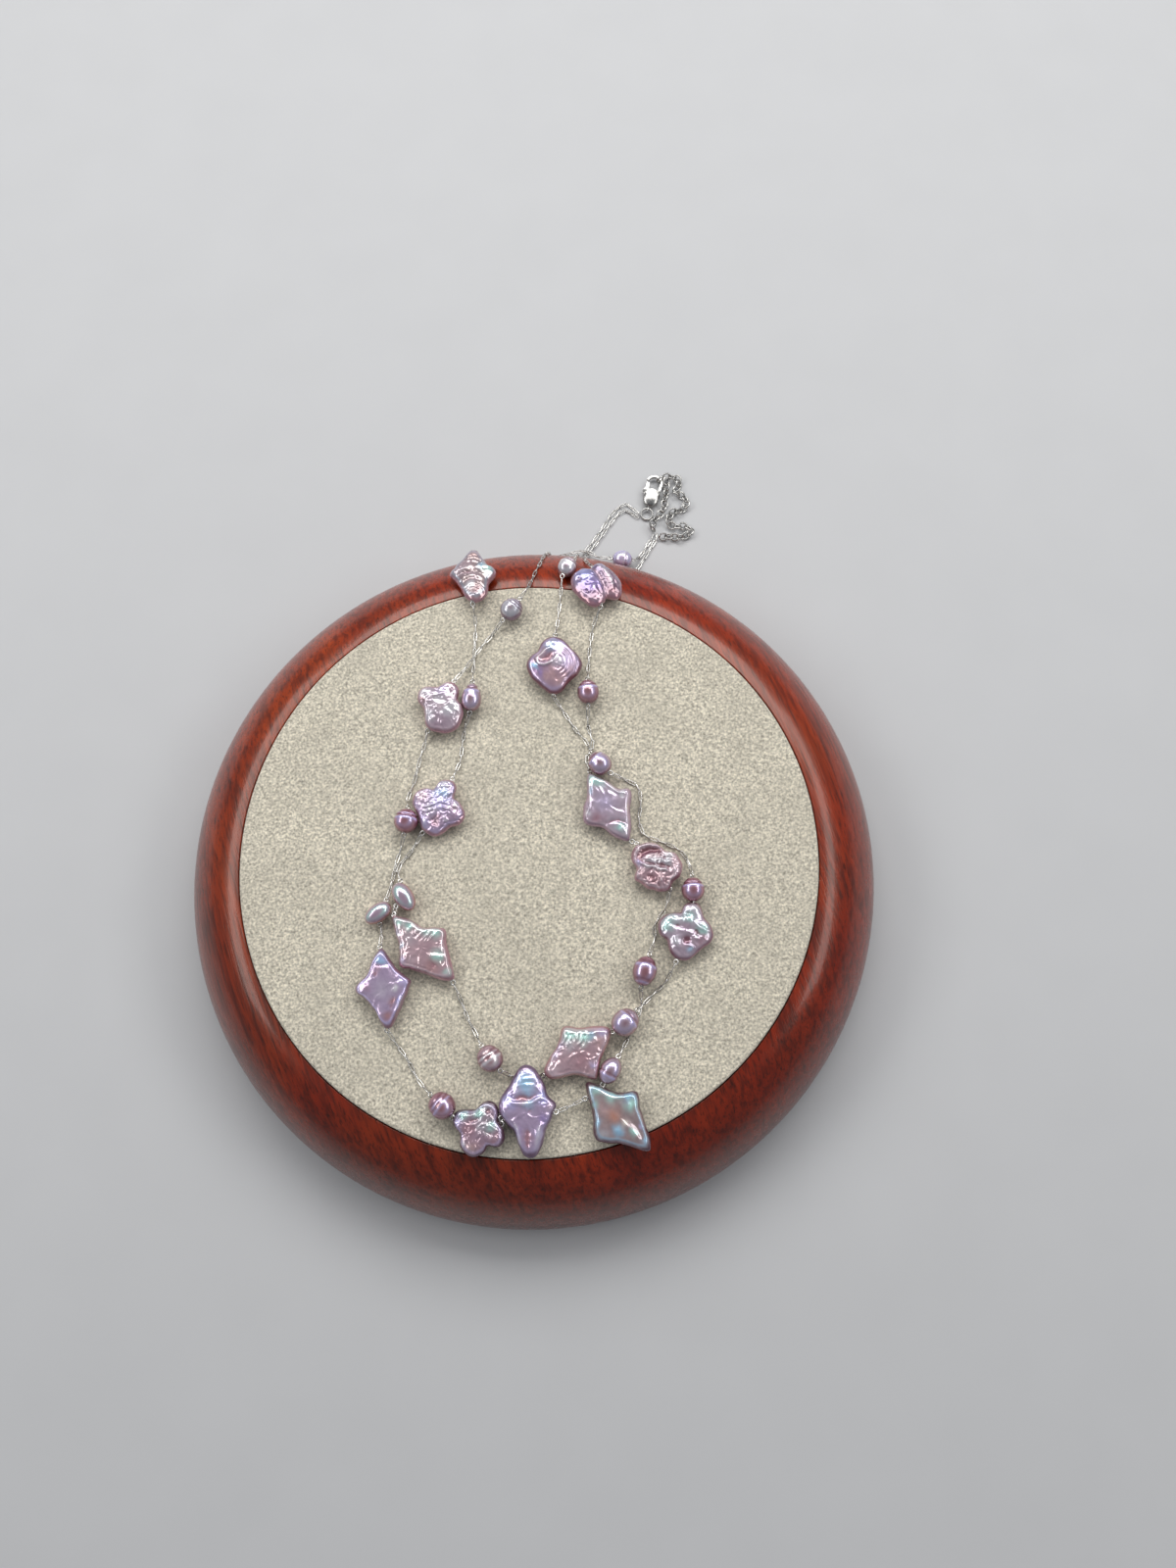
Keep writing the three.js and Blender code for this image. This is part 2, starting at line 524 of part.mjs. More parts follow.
// The chain's way over the nose of the stand, between a point on its top and one beside it on the floor.
function overNose([start, end]) {
  const rising = Math.hypot(...start) > Math.hypot(...end);
  const [high, low] = rising ? [end, start] : [start, end];
  const bearings = [high, low].map(([x, y]) => Math.atan2(y, x));
  const radii = [high, low].map((point) => Math.hypot(...point));
  const topTurn = noseTurn(radii[0], CHAIN_LIFT);
  const steps = TOP_SHARES.map((share) => nosePoint(topTurn * share, CHAIN_LIFT));
  steps.push([lerp(WOOD_RADIUS + CHAIN_LIFT, radii[1], UNDER_NOSE), NOSE_BOTTOM / 2], [radii[1], CHAIN_LIFT]);
  const stations = steps.map(([radius, height]) => {
    const bearing = lerp(bearings[0], bearings[1], (radius - radii[0]) / (radii[1] - radii[0]));
    return new THREE.Vector3(radius * Math.cos(bearing), radius * Math.sin(bearing), height);
  });
  return rising ? stations.reverse() : stations;
}

// The stations of a strand, one list for each stretch of it. A hole's thread runs straight on for EYE_REACH
// beyond both of its mouths, but goes from mouth to mouth where two pearls are close.
function strandStations(strand, threads) {
  const stretches = [[]];
  let exit = null;
  for (const row of strand.route) {
    let stations = stretches[stretches.length - 1];
    if (!row.pearl) {
      if (exit) stations.push(exit.eye);
      exit = null;
      stations.push(...(row.nose ? overNose(row.nose) : [freePoint(row, CHAIN_LIFT)]));
      continue;
    }
    const mouths = threads.get(row.pearl).map((mouth) => mouth.clone());
    const last = exit ? exit.mouth : stations[stations.length - 1];
    if (last.distanceTo(mouths[1]) < last.distanceTo(mouths[0])) mouths.reverse();
    const reach = mouths[1].clone().sub(mouths[0]).setLength(EYE_REACH);
    const near = exit && exit.mouth.distanceTo(mouths[0]) < NEAR_PEARLS;
    if (exit && near) stations.push(exit.mouth);
    if (exit && !near) stations.push(exit.eye);
    stations.push(near ? mouths[0] : mouths[0].clone().sub(reach));
    if (row.split) {
      const middle = mouths[0].clone().lerp(mouths[1], 0.5);
      const half = reach.clone().setLength(SPLIT_GAP / 2);
      stations.push(middle.clone().sub(half));
      stations = [middle.clone().add(half)];
      stretches.push(stations);
    }
    exit = { mouth: mouths[1], eye: mouths[1].clone().add(reach) };
  }
  return stretches.map(landed);
}

// Adds the point where the chain meets the pad, on each long fall from a pearl's hole.
function landed(stations) {
  const result = [stations[0]];
  for (let i = 1; i < stations.length; i++) {
    const [from, to] = [stations[i - 1], stations[i]];
    const fall = from.z - to.z;
    const run = Math.hypot(to.x - from.x, to.y - from.y);
    const onPad = Math.hypot(from.x, from.y) < PAD_RADIUS && Math.hypot(to.x, to.y) < PAD_RADIUS;
    if (onPad && Math.abs(fall) > 1 && run > LANDING * 1.4) {
      const landing = from.clone().lerp(to, fall > 0 ? LANDING / run : 1 - LANDING / run);
      landing.z = Math.min(from.z, to.z);
      result.push(landing);
    }
    result.push(to);
  }
  return result;
}

function addStrands(parent, threads) {
  for (const strand of STRANDS) {
    strandStations(strand, threads).forEach((stations, i) => {
      const name = `${strand.name}_${strand.stretches[i]}`;
      addMesh(parent, name, tube(stations, CHAIN_RADIUS), "silver");
    });
  }
}

function addRings(parent) {
  for (const ring of RINGS) {
    const geometry = new THREE.TorusGeometry(ring.radius, ring.wire, ...RING_CUTS);
    geometry.rotateY(radians(-ring.tilt));
    const mesh = addMesh(parent, ring.name, geometry, "silver");
    mesh.position.set(ring.x, ring.y, ring.z);
    mesh.rotation.z = radians(ring.turn);
  }
}

function addExtenders(parent) {
  for (const extender of EXTENDERS) {
    const stations = extender.route.map((row) => freePoint(row, EXTENDER_LIFT));
    addMesh(parent, extender.name, tube(stations, EXTENDER_RADIUS), "silver");
  }
}

// A flat plate from an outline, centred on the clasp's middle height.
function plate(shape, depth) {
  const settings = { depth, bevelEnabled: false, curveSegments: PLATE_CUTS };
  const geometry = new THREE.ExtrudeGeometry(shape, settings);
  return geometry.translate(0, 0, CLASP_MIDDLE - depth / 2);
}

function polygon(points) {
  const shape = new THREE.Shape();
  points.forEach(([u, v], i) => (i === 0 ? shape.moveTo(u, v) : shape.lineTo(u, v)));
  return shape;
}

function claspBody() {
  const c = CLASP;
  const belly = new THREE.Shape();
  belly.absellipse(c.bodyU, c.bodyV, c.bodyHalfWidth, c.bodyHalfLength, 0, 2 * Math.PI);
  const hook = new THREE.Shape();
  hook.absarc(0, c.hookV, c.hookOuter, radians(c.hookStart), radians(c.hookEnd), false);
  hook.absarc(0, c.hookV, c.hookInner, radians(c.hookEnd), radians(c.hookStart), true);
  const pin = pivotCylinder(c.pinRadius, c.thickness - 2 * c.pinInset);
  const tail = new THREE.TorusGeometry(c.tailRadius, c.tailWire, ...RING_CUTS).rotateY(Math.PI / 2);
  tail.translate(0, c.tailV, CLASP_MIDDLE - c.tailDrop);

  return solidOf(plate(belly, c.thickness))
    .subtract(solidOf(plate(polygon(c.slot), c.slotThickness)))
    .add(solidOf(plate(polygon(c.arm), c.armThickness)))
    .add(solidOf(plate(hook, c.hookThickness)))
    .add(solidOf(pin))
    .add(solidOf(tail));
}

function claspLever() {
  const c = CLASP;
  const knuckle = new THREE.Shape().absarc(c.pivotU, c.pivotV, c.knuckle, 0, 2 * Math.PI);
  return solidOf(plate(knuckle, c.leverThickness))
    .add(solidOf(plate(polygon(c.gate), c.leverThickness)))
    .subtract(solidOf(pivotCylinder(c.leverHole, c.thickness)));
}

// A cylinder through the thickness of the clasp, at the lever's pivot.
function pivotCylinder(radius, length) {
  const cylinder = new THREE.CylinderGeometry(radius, radius, length, CLASP.pivotSides);
  return cylinder.rotateX(Math.PI / 2).translate(CLASP.pivotU, CLASP.pivotV, CLASP_MIDDLE);
}

function addClasp(parent) {
  const clasp = new THREE.Group();
  clasp.position.set(CLASP.x, CLASP.y, 0);
  clasp.rotation.z = radians(CLASP.turn);
  addMesh(clasp, "clasp_body", geometryOf(claspBody()), "silver");
  addMesh(clasp, "clasp_lever", geometryOf(claspLever()), "silver");
  parent.add(clasp);
}

const necklace = new THREE.Group();
addStand(necklace);
const threads = addPearls(necklace);
addStrands(necklace, threads);
addRings(necklace);
addExtenders(necklace);
addClasp(necklace);

export default necklace;
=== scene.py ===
"""A double-strand necklace of shaped pearls, lying on its round wooden display stand.

Every length in the tables is in millimetres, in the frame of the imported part: the origin is the centre of
the stand's flat underside, +Z is up, and +Y runs to the back, where the clasp lies.
"""

import json
import math

import bpy
import numpy as np
from bpy.props import FloatProperty, FloatVectorProperty, IntProperty, PointerProperty
from mathutils import Matrix, Vector


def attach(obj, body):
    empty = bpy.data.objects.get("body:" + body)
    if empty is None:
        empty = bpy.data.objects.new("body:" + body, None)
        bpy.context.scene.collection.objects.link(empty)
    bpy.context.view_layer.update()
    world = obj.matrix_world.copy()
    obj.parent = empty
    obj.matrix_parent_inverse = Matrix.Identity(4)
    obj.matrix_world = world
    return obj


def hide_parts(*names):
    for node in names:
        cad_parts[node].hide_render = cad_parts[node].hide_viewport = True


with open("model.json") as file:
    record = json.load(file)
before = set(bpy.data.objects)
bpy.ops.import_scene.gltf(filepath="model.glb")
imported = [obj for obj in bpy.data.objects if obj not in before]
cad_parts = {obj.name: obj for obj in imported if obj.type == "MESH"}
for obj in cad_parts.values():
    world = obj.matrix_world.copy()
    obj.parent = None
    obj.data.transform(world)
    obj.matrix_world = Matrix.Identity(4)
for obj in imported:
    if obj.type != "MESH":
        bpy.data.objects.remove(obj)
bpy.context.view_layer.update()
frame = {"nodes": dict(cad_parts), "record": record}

bl_info = {
    "name": "Pearl Necklace on Stand",
    "version": (1, 0, 0),
    "blender": (4, 5, 0),
    "location": "View3D > Sidebar > Necklace",
    "description": "Builds a double-strand pearl necklace lying on a round display stand",
    "category": "Object",
}

MM = 0.001
BODY = "necklace_on_stand"
LEVER = "clasp_lever"

# The stand, as the part has it.
PAD_RADIUS = 77.0
PAD_TOP = 29.0
PAD_THICKNESS = 2.6
WOOD_RADIUS = 96.0
WOOD_TOP = 28.0
NOSE_BOTTOM = 5.0
NOSE_POWER = 1.8
FOOT_RADIUS = 88.0
SEAT_GAP = 0.3
REST_GAP = 0.2
CHAIN_LIFT = 0.55
EXTENDER_LIFT = 0.9
EDGE_SLOPE = 0.5
PAD_EDGE_ROUND = 0.5
LANDING = 4.5

# Faces round the wood and round the pad, and steps along the wood's nose and round its foot.
WOOD_SIDES = 288
PAD_SIDES = 256
NOSE_STEPS = 36
FOOT_STEPS = 8
# The radius of the suede's turned edge, and the steps of its top to the middle, with the width of each.
SUEDE_ROUND = 0.7
PAD_STEPS = 60
PAD_STEP = 1.27
# The thread's hole through a pearl, the steps in which its mouths are looked for, and the drill that cuts it.
HOLE_RADIUS = 0.42
MOUTH_STEP = 0.1
DRILL_PAST = 1.5
DRILL_SIDES = 20
# The wire in the hole: how far it comes out at each end, and the faces round it.
PIN_PAST = 0.25
PIN_SIDES = 8
# How uneven every pearl is, how a shaped pearl's rows close up at its rim, and how its two sides swell.
UNEVEN = 0.012
ROW_POWER = 0.75
TOP_SHARE = 0.94
BELOW_POWER = 10 / 3
# A small pearl: faces round it and along it, and how blunt its ends are.
BALL_SPOKES = 72
BALL_ROWS = 56
BALL_BLUNT = 0.92
# A ring of bent wire: degrees left open to each side of its join, the step across it, and its corners.
JOIN_GAP = 3.5
JOIN_STEP = 0.05
RING_STEPS = 48
# How far the extender's links stand above its middle line.
LINK_RISE = 0.25

# The stage, in metres: half the floor's side, and the camera's place, directions and lens.
FLOOR_HALF = 1.6
CAMERA_AT = (0.0224, -0.0597, 0.3362)
CAMERA_RIGHT = (0.99979, 0.00515, -0.01994)
CAMERA_UP = (0.0, 0.96824, 0.25002)
CAMERA_LENS = 27.05

# Colours of nacre by name, sRGB.
NACRE = {
    "mint": (0.76, 0.95, 0.90), "cyan": (0.68, 0.87, 0.98), "lilac": (0.83, 0.79, 0.95),
    "periwinkle": (0.72, 0.74, 0.96), "violet": (0.67, 0.58, 0.84), "cream": (0.97, 0.93, 0.87),
    "white": (0.97, 0.96, 0.97), "blush": (0.90, 0.80, 0.83), "silver": (0.83, 0.82, 0.84),
    "dusk": (0.76, 0.68, 0.73), "heather": (0.73, 0.65, 0.76), "rosepink": (0.77, 0.64, 0.67),
    "mauve": (0.68, 0.56, 0.63), "rose": (0.72, 0.53, 0.57), "copper": (0.72, 0.52, 0.51),
    "peach": (0.85, 0.70, 0.69), "orange": (0.85, 0.60, 0.50), "brown": (0.67, 0.58, 0.58),
    "rosewood": (0.60, 0.43, 0.47), "wine": (0.52, 0.30, 0.35), "grape": (0.48, 0.36, 0.46),
    "plum": (0.34, 0.19, 0.25),
}

# Small pearls: length and width along and across the long axis, turn its bearing, slope its fall, and raise
# how far it is lifted. thread is the bearing of the hole where it isn't the long axis, and along moves the
# hole to one end. taper narrows the end at the turn, rings are its grooves as (place from -1 to 1 along the
# axis, width, depth), and tone names its colours.
SMALL_PEARLS = [
    {"name": "pearl_small_01", "x": 9.7, "y": 83.0, "length": 5.8, "width": 4.9, "turn": 62, "slope": 22,
     "raise": 0.2, "tone": "silver", "rings": [(0.3, 0.11, 0.2), (0.62, 0.1, 0.18)], "taper": 0.05},
    {"name": "pearl_small_02", "x": 19.0, "y": 24.6, "length": 6.2, "width": 5.6, "turn": 133,
     "tone": "mauve", "rings": [(0.7, 0.1, 0.22)], "taper": 0.08},
    {"name": "pearl_small_03", "x": 43.4, "y": -9.5, "length": 6.0, "width": 5.6, "turn": 90,
     "tone": "dark", "rings": [(0.46, 0.09, 0.2), (0.72, 0.08, 0.12)], "taper": 0.04},
    {"name": "pearl_small_04", "x": 25.7, "y": -43.5, "length": 6.9, "width": 6.3, "turn": 44,
     "tone": "mauve", "rings": [(0.55, 0.1, 0.12)], "taper": 0.03},
    {"name": "pearl_small_05", "x": -8.4, "y": -52.6, "length": 6.4, "width": 6.1, "turn": 127,
     "tone": "rose", "rings": [(0.42, 0.11, 0.11), (0.08, 0.11, 0.1)], "taper": 0.02},
    {"name": "pearl_small_06", "x": -32.1, "y": -11.5, "length": 7.8, "width": 4.7, "turn": 126,
     "thread": 82, "along": 2.1, "tone": "rice", "taper": -0.06},
    {"name": "pearl_small_07", "x": -16.0, "y": 43.4, "length": 7.4, "width": 4.9, "turn": 88,
     "tone": "mauve", "rings": [(0.6, 0.1, 0.22)], "taper": 0.2},
    {"name": "pearl_small_08", "x": 15.8, "y": 44.8, "length": 6.3, "width": 5.5, "turn": 92,
     "tone": "dark", "rings": [(0.48, 0.09, 0.18), (0.74, 0.08, 0.12)], "taper": 0.05},
    {"name": "pearl_small_09", "x": 30.7, "y": -30.6, "length": 7.2, "width": 5.8, "turn": 74,
     "tone": "dark", "rings": [(0.62, 0.12, 0.14), (-0.58, 0.1, 0.08)]},
    {"name": "pearl_small_10", "x": 21.9, "y": -55.4, "length": 6.5, "width": 4.8, "turn": 60,
     "tone": "mauve", "rings": [(-0.2, 0.1, 0.1)], "taper": 0.03},
    {"name": "pearl_small_11", "x": -20.1, "y": -64.1, "length": 6.5, "width": 6.2, "turn": 140,
     "tone": "dark", "rings": [(0.52, 0.1, 0.1), (0.22, 0.1, 0.09)], "taper": 0.02},
    {"name": "pearl_small_12", "x": -38.7, "y": -15.8, "length": 7.2, "width": 4.4, "turn": 36,
     "thread": 76, "along": 1.7, "tone": "rice", "taper": -0.05},
    {"name": "pearl_small_13", "x": -32.3, "y": 8.7, "length": 6.1, "width": 6.0, "turn": 84,
     "tone": "dark", "rings": [(0.36, 0.1, 0.2), (0.68, 0.08, 0.14)], "taper": 0.02},
    {"name": "pearl_small_14", "x": -5.6, "y": 68.9, "length": 6.0, "width": 5.7, "turn": 53,
     "tone": "grey", "rings": [(0.34, 0.08, 0.14), (0.58, 0.08, 0.16), (0.78, 0.07, 0.12)], "taper": 0.03},
    {"name": "pearl_small_15", "x": 25.5, "y": 97.6, "length": 5.6, "width": 5.2, "turn": -8,
     "tone": "pale", "rings": [(0.4, 0.08, 0.08)]},
]

# The colour of the painted highlight line along a shaped pearl's rim, by its body colour, where it isn't
# blush.
RIM_HIGHLIGHT_LINES = {"heather": "lilac", "mauve": "lilac", "brown": "cyan"}

# Body, rim, glow and heart of each kind of small pearl: the body is its own colour, the rim a painted dark
# reflection round its edge and painted shade in its grooves, and the glow a painted highlight, a bright arch
# round the darker heart, and on the ridges by the grooves.
TONES = {
    "silver": ("silver", "rosewood", "white", "rosewood"), "rice": ("dusk", "copper", "mint", "mauve"),
    "mauve": ("dusk", "rosewood", "lilac", "wine"), "dark": ("rose", "wine", "lilac", "wine"),
    "rose": ("rosepink", "wine", "white", "wine"), "grey": ("silver", "grape", "silver", "rosewood"),
    "pale": ("lilac", "mauve", "white", "blush"),
}

# Shaped pearls. lean tips one about the stand's edge, and thread is the bearing of its hole, which threadX
# and threadY move off the middle. full is how flat the top stays towards the edge, rim the (height, inset,
# width) of the ridge that runs round it, and crumple the (height, size) of its wrinkles. Its three main
# colours are its body, a darker skirt at its edge and underside, partly its own deeper colour and partly a
# painted dark reflection, and the deep colour of its creases, a painted shade. outline is its reach at
# bearings round it. Each of the folds is (height, width, points): a ridge where the height is positive, a
# crease where it is negative, a dome or dimple where it has one point. ripples are (x, y, first radius, gap,
# count, height, from bearing, to bearing), and the tints are (colour, x, y, radius, strength): patches that
# are partly the nacre's own tones and partly painted highlights and painted iridescent sheen.
SHAPED_PEARLS = [
    {"name": "pearl_flower_01", "x": 6.3, "y": 52.9, "thick": 4.6, "thread": 88, "full": 3.0,
     "rim": (0.1, 0.15, 0.07), "crumple": (0.04, 2.6), "body": "mauve", "skirt_and_dark_reflection": "wine", "crease_shade": "rose",
     "outline": [(2, 7.7), (20, 7.0), (40, 6.5), (70, 7.3), (82, 7.8), (118, 7.0), (139, 5.6), (160, 6.6),
         (180, 7.2), (195, 7.1), (245, 7.3), (268, 8.5), (287, 8.0), (301, 6.9), (340, 7.2)],
     "folds": [(0.6, 0.45, [(-4.6, 1.0), (-4.0, -0.3), (-2.5, -0.8), (-1.0, -0.2), (0.4, 0.8), (1.0, 2.1)]),
         (0.45, 0.45, [(-4.6, 1.2), (-3.3, 2.3), (-2.3, 3.5), (-1.0, 4.2)]),
         (-0.75, 0.8, [(-2.8, 0.9), (-1.4, 1.4), (-0.7, 2.6)]), (-0.45, 0.8, [(-5.6, 5.0), (-4.4, 4.0)]),
         (-0.22, 0.6, [(0.8, -3.4), (1.0, -5.6)]), (0.25, 0.8, [(-1.0, 6.0), (0.8, 5.8)])],
     "ripples": [(0.0, 0.0, 2.9, 1.05, 4, 0.13, -70, 65)],
     "tints_and_highlights": [("cyan", -0.4, 5.0, 1.6, 0.8), ("lilac", 1.6, 4.8, 1.8, 0.8), ("cyan", -5.2, -0.8, 0.9, 1.0),
         ("violet", -3.6, -2.7, 1.6, 0.7), ("blush", -3.8, 2.4, 1.6, 0.7), ("peach", -0.6, -3.4, 2.2, 0.7),
         ("lilac", 3.4, 0.6, 2.4, 0.6), ("silver", 1.4, 0.4, 1.6, 0.6), ("peach", 2.2, -5.6, 1.8, 0.6),
         ("orange", 4.6, -3.8, 1.2, 0.4)]},
    {"name": "pearl_flower_02", "x": 41.2, "y": -19.8, "thick": 4.4, "thread": 255, "full": 3.0,
     "rim": (0.06, 0.15, 0.07), "crumple": (0.06, 1.9), "body": "dusk", "skirt_and_dark_reflection": "rosewood", "crease_shade": "wine",
     "outline": [(5, 6.7), (32, 5.7), (42, 6.1), (53, 6.9), (84, 6.7), (93, 5.9), (102, 4.5), (112, 4.5),
         (124, 5.1), (172, 6.9), (191, 6.4), (215, 5.4), (225, 6.0), (248, 7.6), (273, 7.8), (300, 6.5),
         (313, 6.4), (337, 7.3)],
     "folds": [(0.4, 1.2, [(-3.7, 2.8)]), (0.3, 0.7, [(-5.2, 1.4), (-3.4, 0.0)]), (0.4, 1.2, [(2.3, 5.2)]),
         (0.35, 0.8, [(-0.8, 2.6), (1.2, 2.4)]), (0.4, 0.55, [(2.8, 1.0), (4.4, 0.0), (5.8, -0.7)]),
         (-0.5, 0.8, [(2.4, -0.2), (3.4, -1.6)]), (-0.4, 0.7, [(-2.6, 0.8), (-1.2, 0.6)]),
         (0.26, 0.3, [(-1.2, -0.5), (0.4, -0.9), (1.8, -0.5)]), (-0.65, 1.1, [(0.4, -3.0)]),
         (0.35, 0.6, [(-2.6, -1.6), (-2.4, -3.2), (-1.6, -4.8)]),
         (0.35, 0.45, [(0.6, -4.2), (1.8, -4.8), (1.0, -5.8)]), (0.3, 0.5, [(2.0, -2.6), (3.6, -2.4)]),
         (-0.3, 0.5, [(0.2, 4.0), (1.8, 3.6)])],
     "tints_and_highlights": [("mint", -4.0, 2.6, 1.8, 0.8), ("mint", 1.0, 2.9, 1.6, 0.8), ("silver", 2.4, 5.4, 1.8, 0.9),
         ("mint", 4.6, -0.2, 1.6, 0.9), ("mint", -5.0, 0.6, 1.4, 0.7), ("mauve", 0.3, 0.6, 1.2, 0.6),
         ("wine", 0.2, -3.4, 1.4, 0.6), ("cyan", 1.3, -5.0, 0.9, 0.7), ("silver", -2.3, -3.0, 1.2, 0.7),
         ("rose", 4.2, -3.4, 1.8, 0.6)]},
    {"name": "pearl_flower_03", "x": -24.1, "y": 13.1, "thick": 4.6, "thread": 63, "full": 3.0,
     "rim": (0.06, 0.15, 0.07), "crumple": (0.14, 1.3), "body": "heather", "skirt_and_dark_reflection": "rose", "crease_shade": "mauve",
     "outline": [(8, 5.6), (20, 4.7), (28, 4.7), (49, 7.0), (82, 6.8), (105, 4.4), (127, 5.7), (146, 6.7),
         (172, 6.7), (205, 5.8), (228, 6.7), (239, 7.5), (250, 7.9), (275, 8.0), (288, 7.4), (298, 6.9),
         (322, 7.9), (341, 7.6), (356, 6.5)],
     "folds": [(0.17, 0.32, [(-3.3, -0.9), (-1.2, -0.2), (0.8, 0.6), (2.4, 0.2)]),
         (-0.15, 0.28, [(-3.0, -1.5), (-0.8, -0.8), (1.4, -0.2), (3.2, -0.9)]),
         (0.18, 0.36, [(-3.4, -2.1), (-1.0, -1.5), (1.4, -1.0), (3.6, -1.7)]),
         (-0.13, 0.34, [(-3.2, -2.8), (-1.0, -2.2), (1.6, -1.9)]), (-0.6, 1.3, [(-0.4, -4.6)]),
         (0.4, 0.9, [(-3.4, -4.8)]), (0.35, 0.8, [(2.6, -4.4)]), (0.3, 0.45, [(-5.4, 3.3)]),
         (0.3, 0.45, [(-4.2, 2.4)]), (0.28, 0.4, [(-5.4, 1.6)]), (0.28, 0.45, [(-3.6, 3.8)]),
         (0.26, 0.4, [(-3.0, 2.2)]), (0.24, 0.4, [(-4.4, 0.9)]), (0.3, 0.9, [(1.8, 5.6)]),
         (0.35, 0.8, [(4.4, 0.6), (5.4, -0.8)]), (-0.35, 0.5, [(3.6, 2.4), (2.6, 1.4)])],
     "tints_and_highlights": [("cyan", 1.3, 2.6, 2.0, 0.8), ("lilac", 0.6, 0.6, 2.4, 0.8), ("white", 2.0, 6.0, 1.4, 0.7),
         ("blush", -4.6, 2.6, 2.0, 0.9), ("lilac", -3.4, -4.8, 1.6, 0.9), ("blush", 5.2, -0.8, 1.4, 0.8),
         ("rose", -0.3, -4.8, 1.5, 0.7), ("mauve", 4.8, -4.0, 1.8, 0.6), ("silver", -1.6, -1.4, 1.8, 0.5)]},
    {"name": "pearl_star", "x": -16.8, "y": 80.6, "thick": 4.6, "lean": 18, "thread": 92, "full": 2.8,
     "rim": (0.04, 0.15, 0.07), "crumple": (0.07, 1.6), "body": "brown", "skirt_and_dark_reflection": "rose",
     "crease_shade": "rosewood",
     "outline": [(5, 6.2), (18, 5.8), (32, 5.0), (45, 4.8), (60, 5.5), (75, 6.7), (87, 8.5), (95, 9.0),
         (104, 8.2), (114, 7.1), (154, 5.9), (184, 6.4), (195, 5.7), (220, 5.3), (250, 7.0), (260, 8.4),
         (279, 10.1), (297, 8.8), (318, 6.0), (330, 5.5), (345, 5.9)],
     "folds": [(0.2, 0.45, [(-1.8, 6.0), (0.0, 6.3), (1.6, 5.8)]),
         (0.2, 0.45, [(-2.4, 4.8), (0.0, 5.0), (2.0, 4.4)]),
         (0.22, 0.45, [(-3.0, 3.4), (-0.4, 3.8), (2.2, 3.0)]),
         (-0.18, 0.35, [(-2.2, 5.4), (0.0, 5.6), (1.8, 5.1)]),
         (-0.18, 0.35, [(-2.8, 4.1), (0.0, 4.4), (2.2, 3.7)]),
         (0.35, 0.55, [(-5.2, 0.2), (-2.6, 0.6), (-0.4, 1.8)]),
         (-0.3, 0.5, [(-4.0, -1.2), (-1.6, -0.6), (0.8, -0.8)]), (0.35, 0.6, [(2.0, 1.6), (4.8, 1.4)]),
         (0.22, 0.5, [(-2.2, -2.6), (0.4, -2.0), (2.6, -2.8)]),
         (-0.2, 0.4, [(-2.0, -3.6), (0.4, -3.0), (2.2, -3.8)]), (0.35, 0.7, [(-1.2, -5.4), (0.8, -5.0)])],
     "ripples": [(0.4, -9.4, 1.6, 0.9, 4, 0.12, 40, 140)],
     "tints_and_highlights": [("mint", 4.2, 1.3, 1.6, 0.9), ("cyan", 2.6, 1.8, 1.0, 0.6), ("blush", -2.1, 2.9, 1.6, 0.4),
         ("blush", 0.8, -2.4, 1.6, 0.4), ("dusk", -3.8, 0.2, 1.8, 0.5), ("copper", 0.2, 6.6, 1.8, 0.5),
         ("white", -0.4, -5.2, 1.2, 0.7), ("rose", 1.6, -7.0, 1.6, 0.5)]},
    {"name": "pearl_flower_04", "x": 17.9, "y": 78.2, "thick": 4.8, "lean": 17, "thread": 100, "full": 2.8,
     "rim": (0.04, 0.15, 0.07), "crumple": (0.06, 1.6), "body": "grape", "skirt_and_dark_reflection": "rose", "crease_shade": "mauve",
     "outline": [(15, 5.9), (60, 5.6), (75, 6.0), (86, 5.8), (116, 4.2), (126, 4.7), (168, 6.7), (206, 7.3),
         (232, 7.6), (245, 8.2), (267, 9.1), (287, 7.7), (296, 6.5), (303, 7.4), (310, 8.4), (320, 8.4),
         (345, 7.3)],
     "folds": [(-0.65, 0.6, [(-2.6, 4.0), (-0.6, 2.4), (0.8, 0.0), (2.2, -3.4), (2.8, -6.4)]),
         (0.4, 0.7, [(-0.4, 4.8), (2.0, 2.6), (4.0, -0.6), (4.6, -4.0)]),
         (0.28, 0.4, [(1.2, 5.0), (3.6, 2.0), (5.6, -1.2)]), (0.2, 1.4, [(-3.8, 0.8)]),
         (-0.4, 0.6, [(-4.9, -1.0)]), (-0.4, 0.5, [(-3.0, -5.0), (-2.2, -5.4)]),
         (0.3, 0.8, [(-1.0, -2.4), (-0.4, -5.2)]), (-0.26, 0.35, [(2.6, 3.4), (4.8, -0.2)]),
         (-0.24, 0.35, [(-2.8, -2.2), (-1.6, -3.0)])],
     "tints_and_highlights": [("periwinkle", -3.6, 0.6, 3.2, 0.8), ("violet", -1.6, -3.2, 2.4, 0.8),
         ("mauve", 4.2, 0.2, 2.4, 0.7), ("lilac", 1.6, 4.2, 1.6, 0.3), ("mauve", 0.6, -6.8, 1.8, 0.8),
         ("rose", 4.6, -5.2, 1.6, 0.7), ("grape", -4.9, -1.0, 0.7, 0.6), ("lilac", 0.6, -1.4, 1.4, 0.3)]},
    {"name": "pearl_flower_05", "x": 33.8, "y": -3.3, "thick": 4.8, "thread": 306, "full": 3.0,
     "rim": (0.16, 0.14, 0.07), "crumple": (0.15, 1.3), "body": "rosepink", "skirt_and_dark_reflection": "rose", "crease_shade": "wine",
     "outline": [(0, 6.8), (15, 6.4), (38, 5.8), (48, 5.0), (58, 4.6), (70, 5.0), (85, 5.7), (118, 6.7),
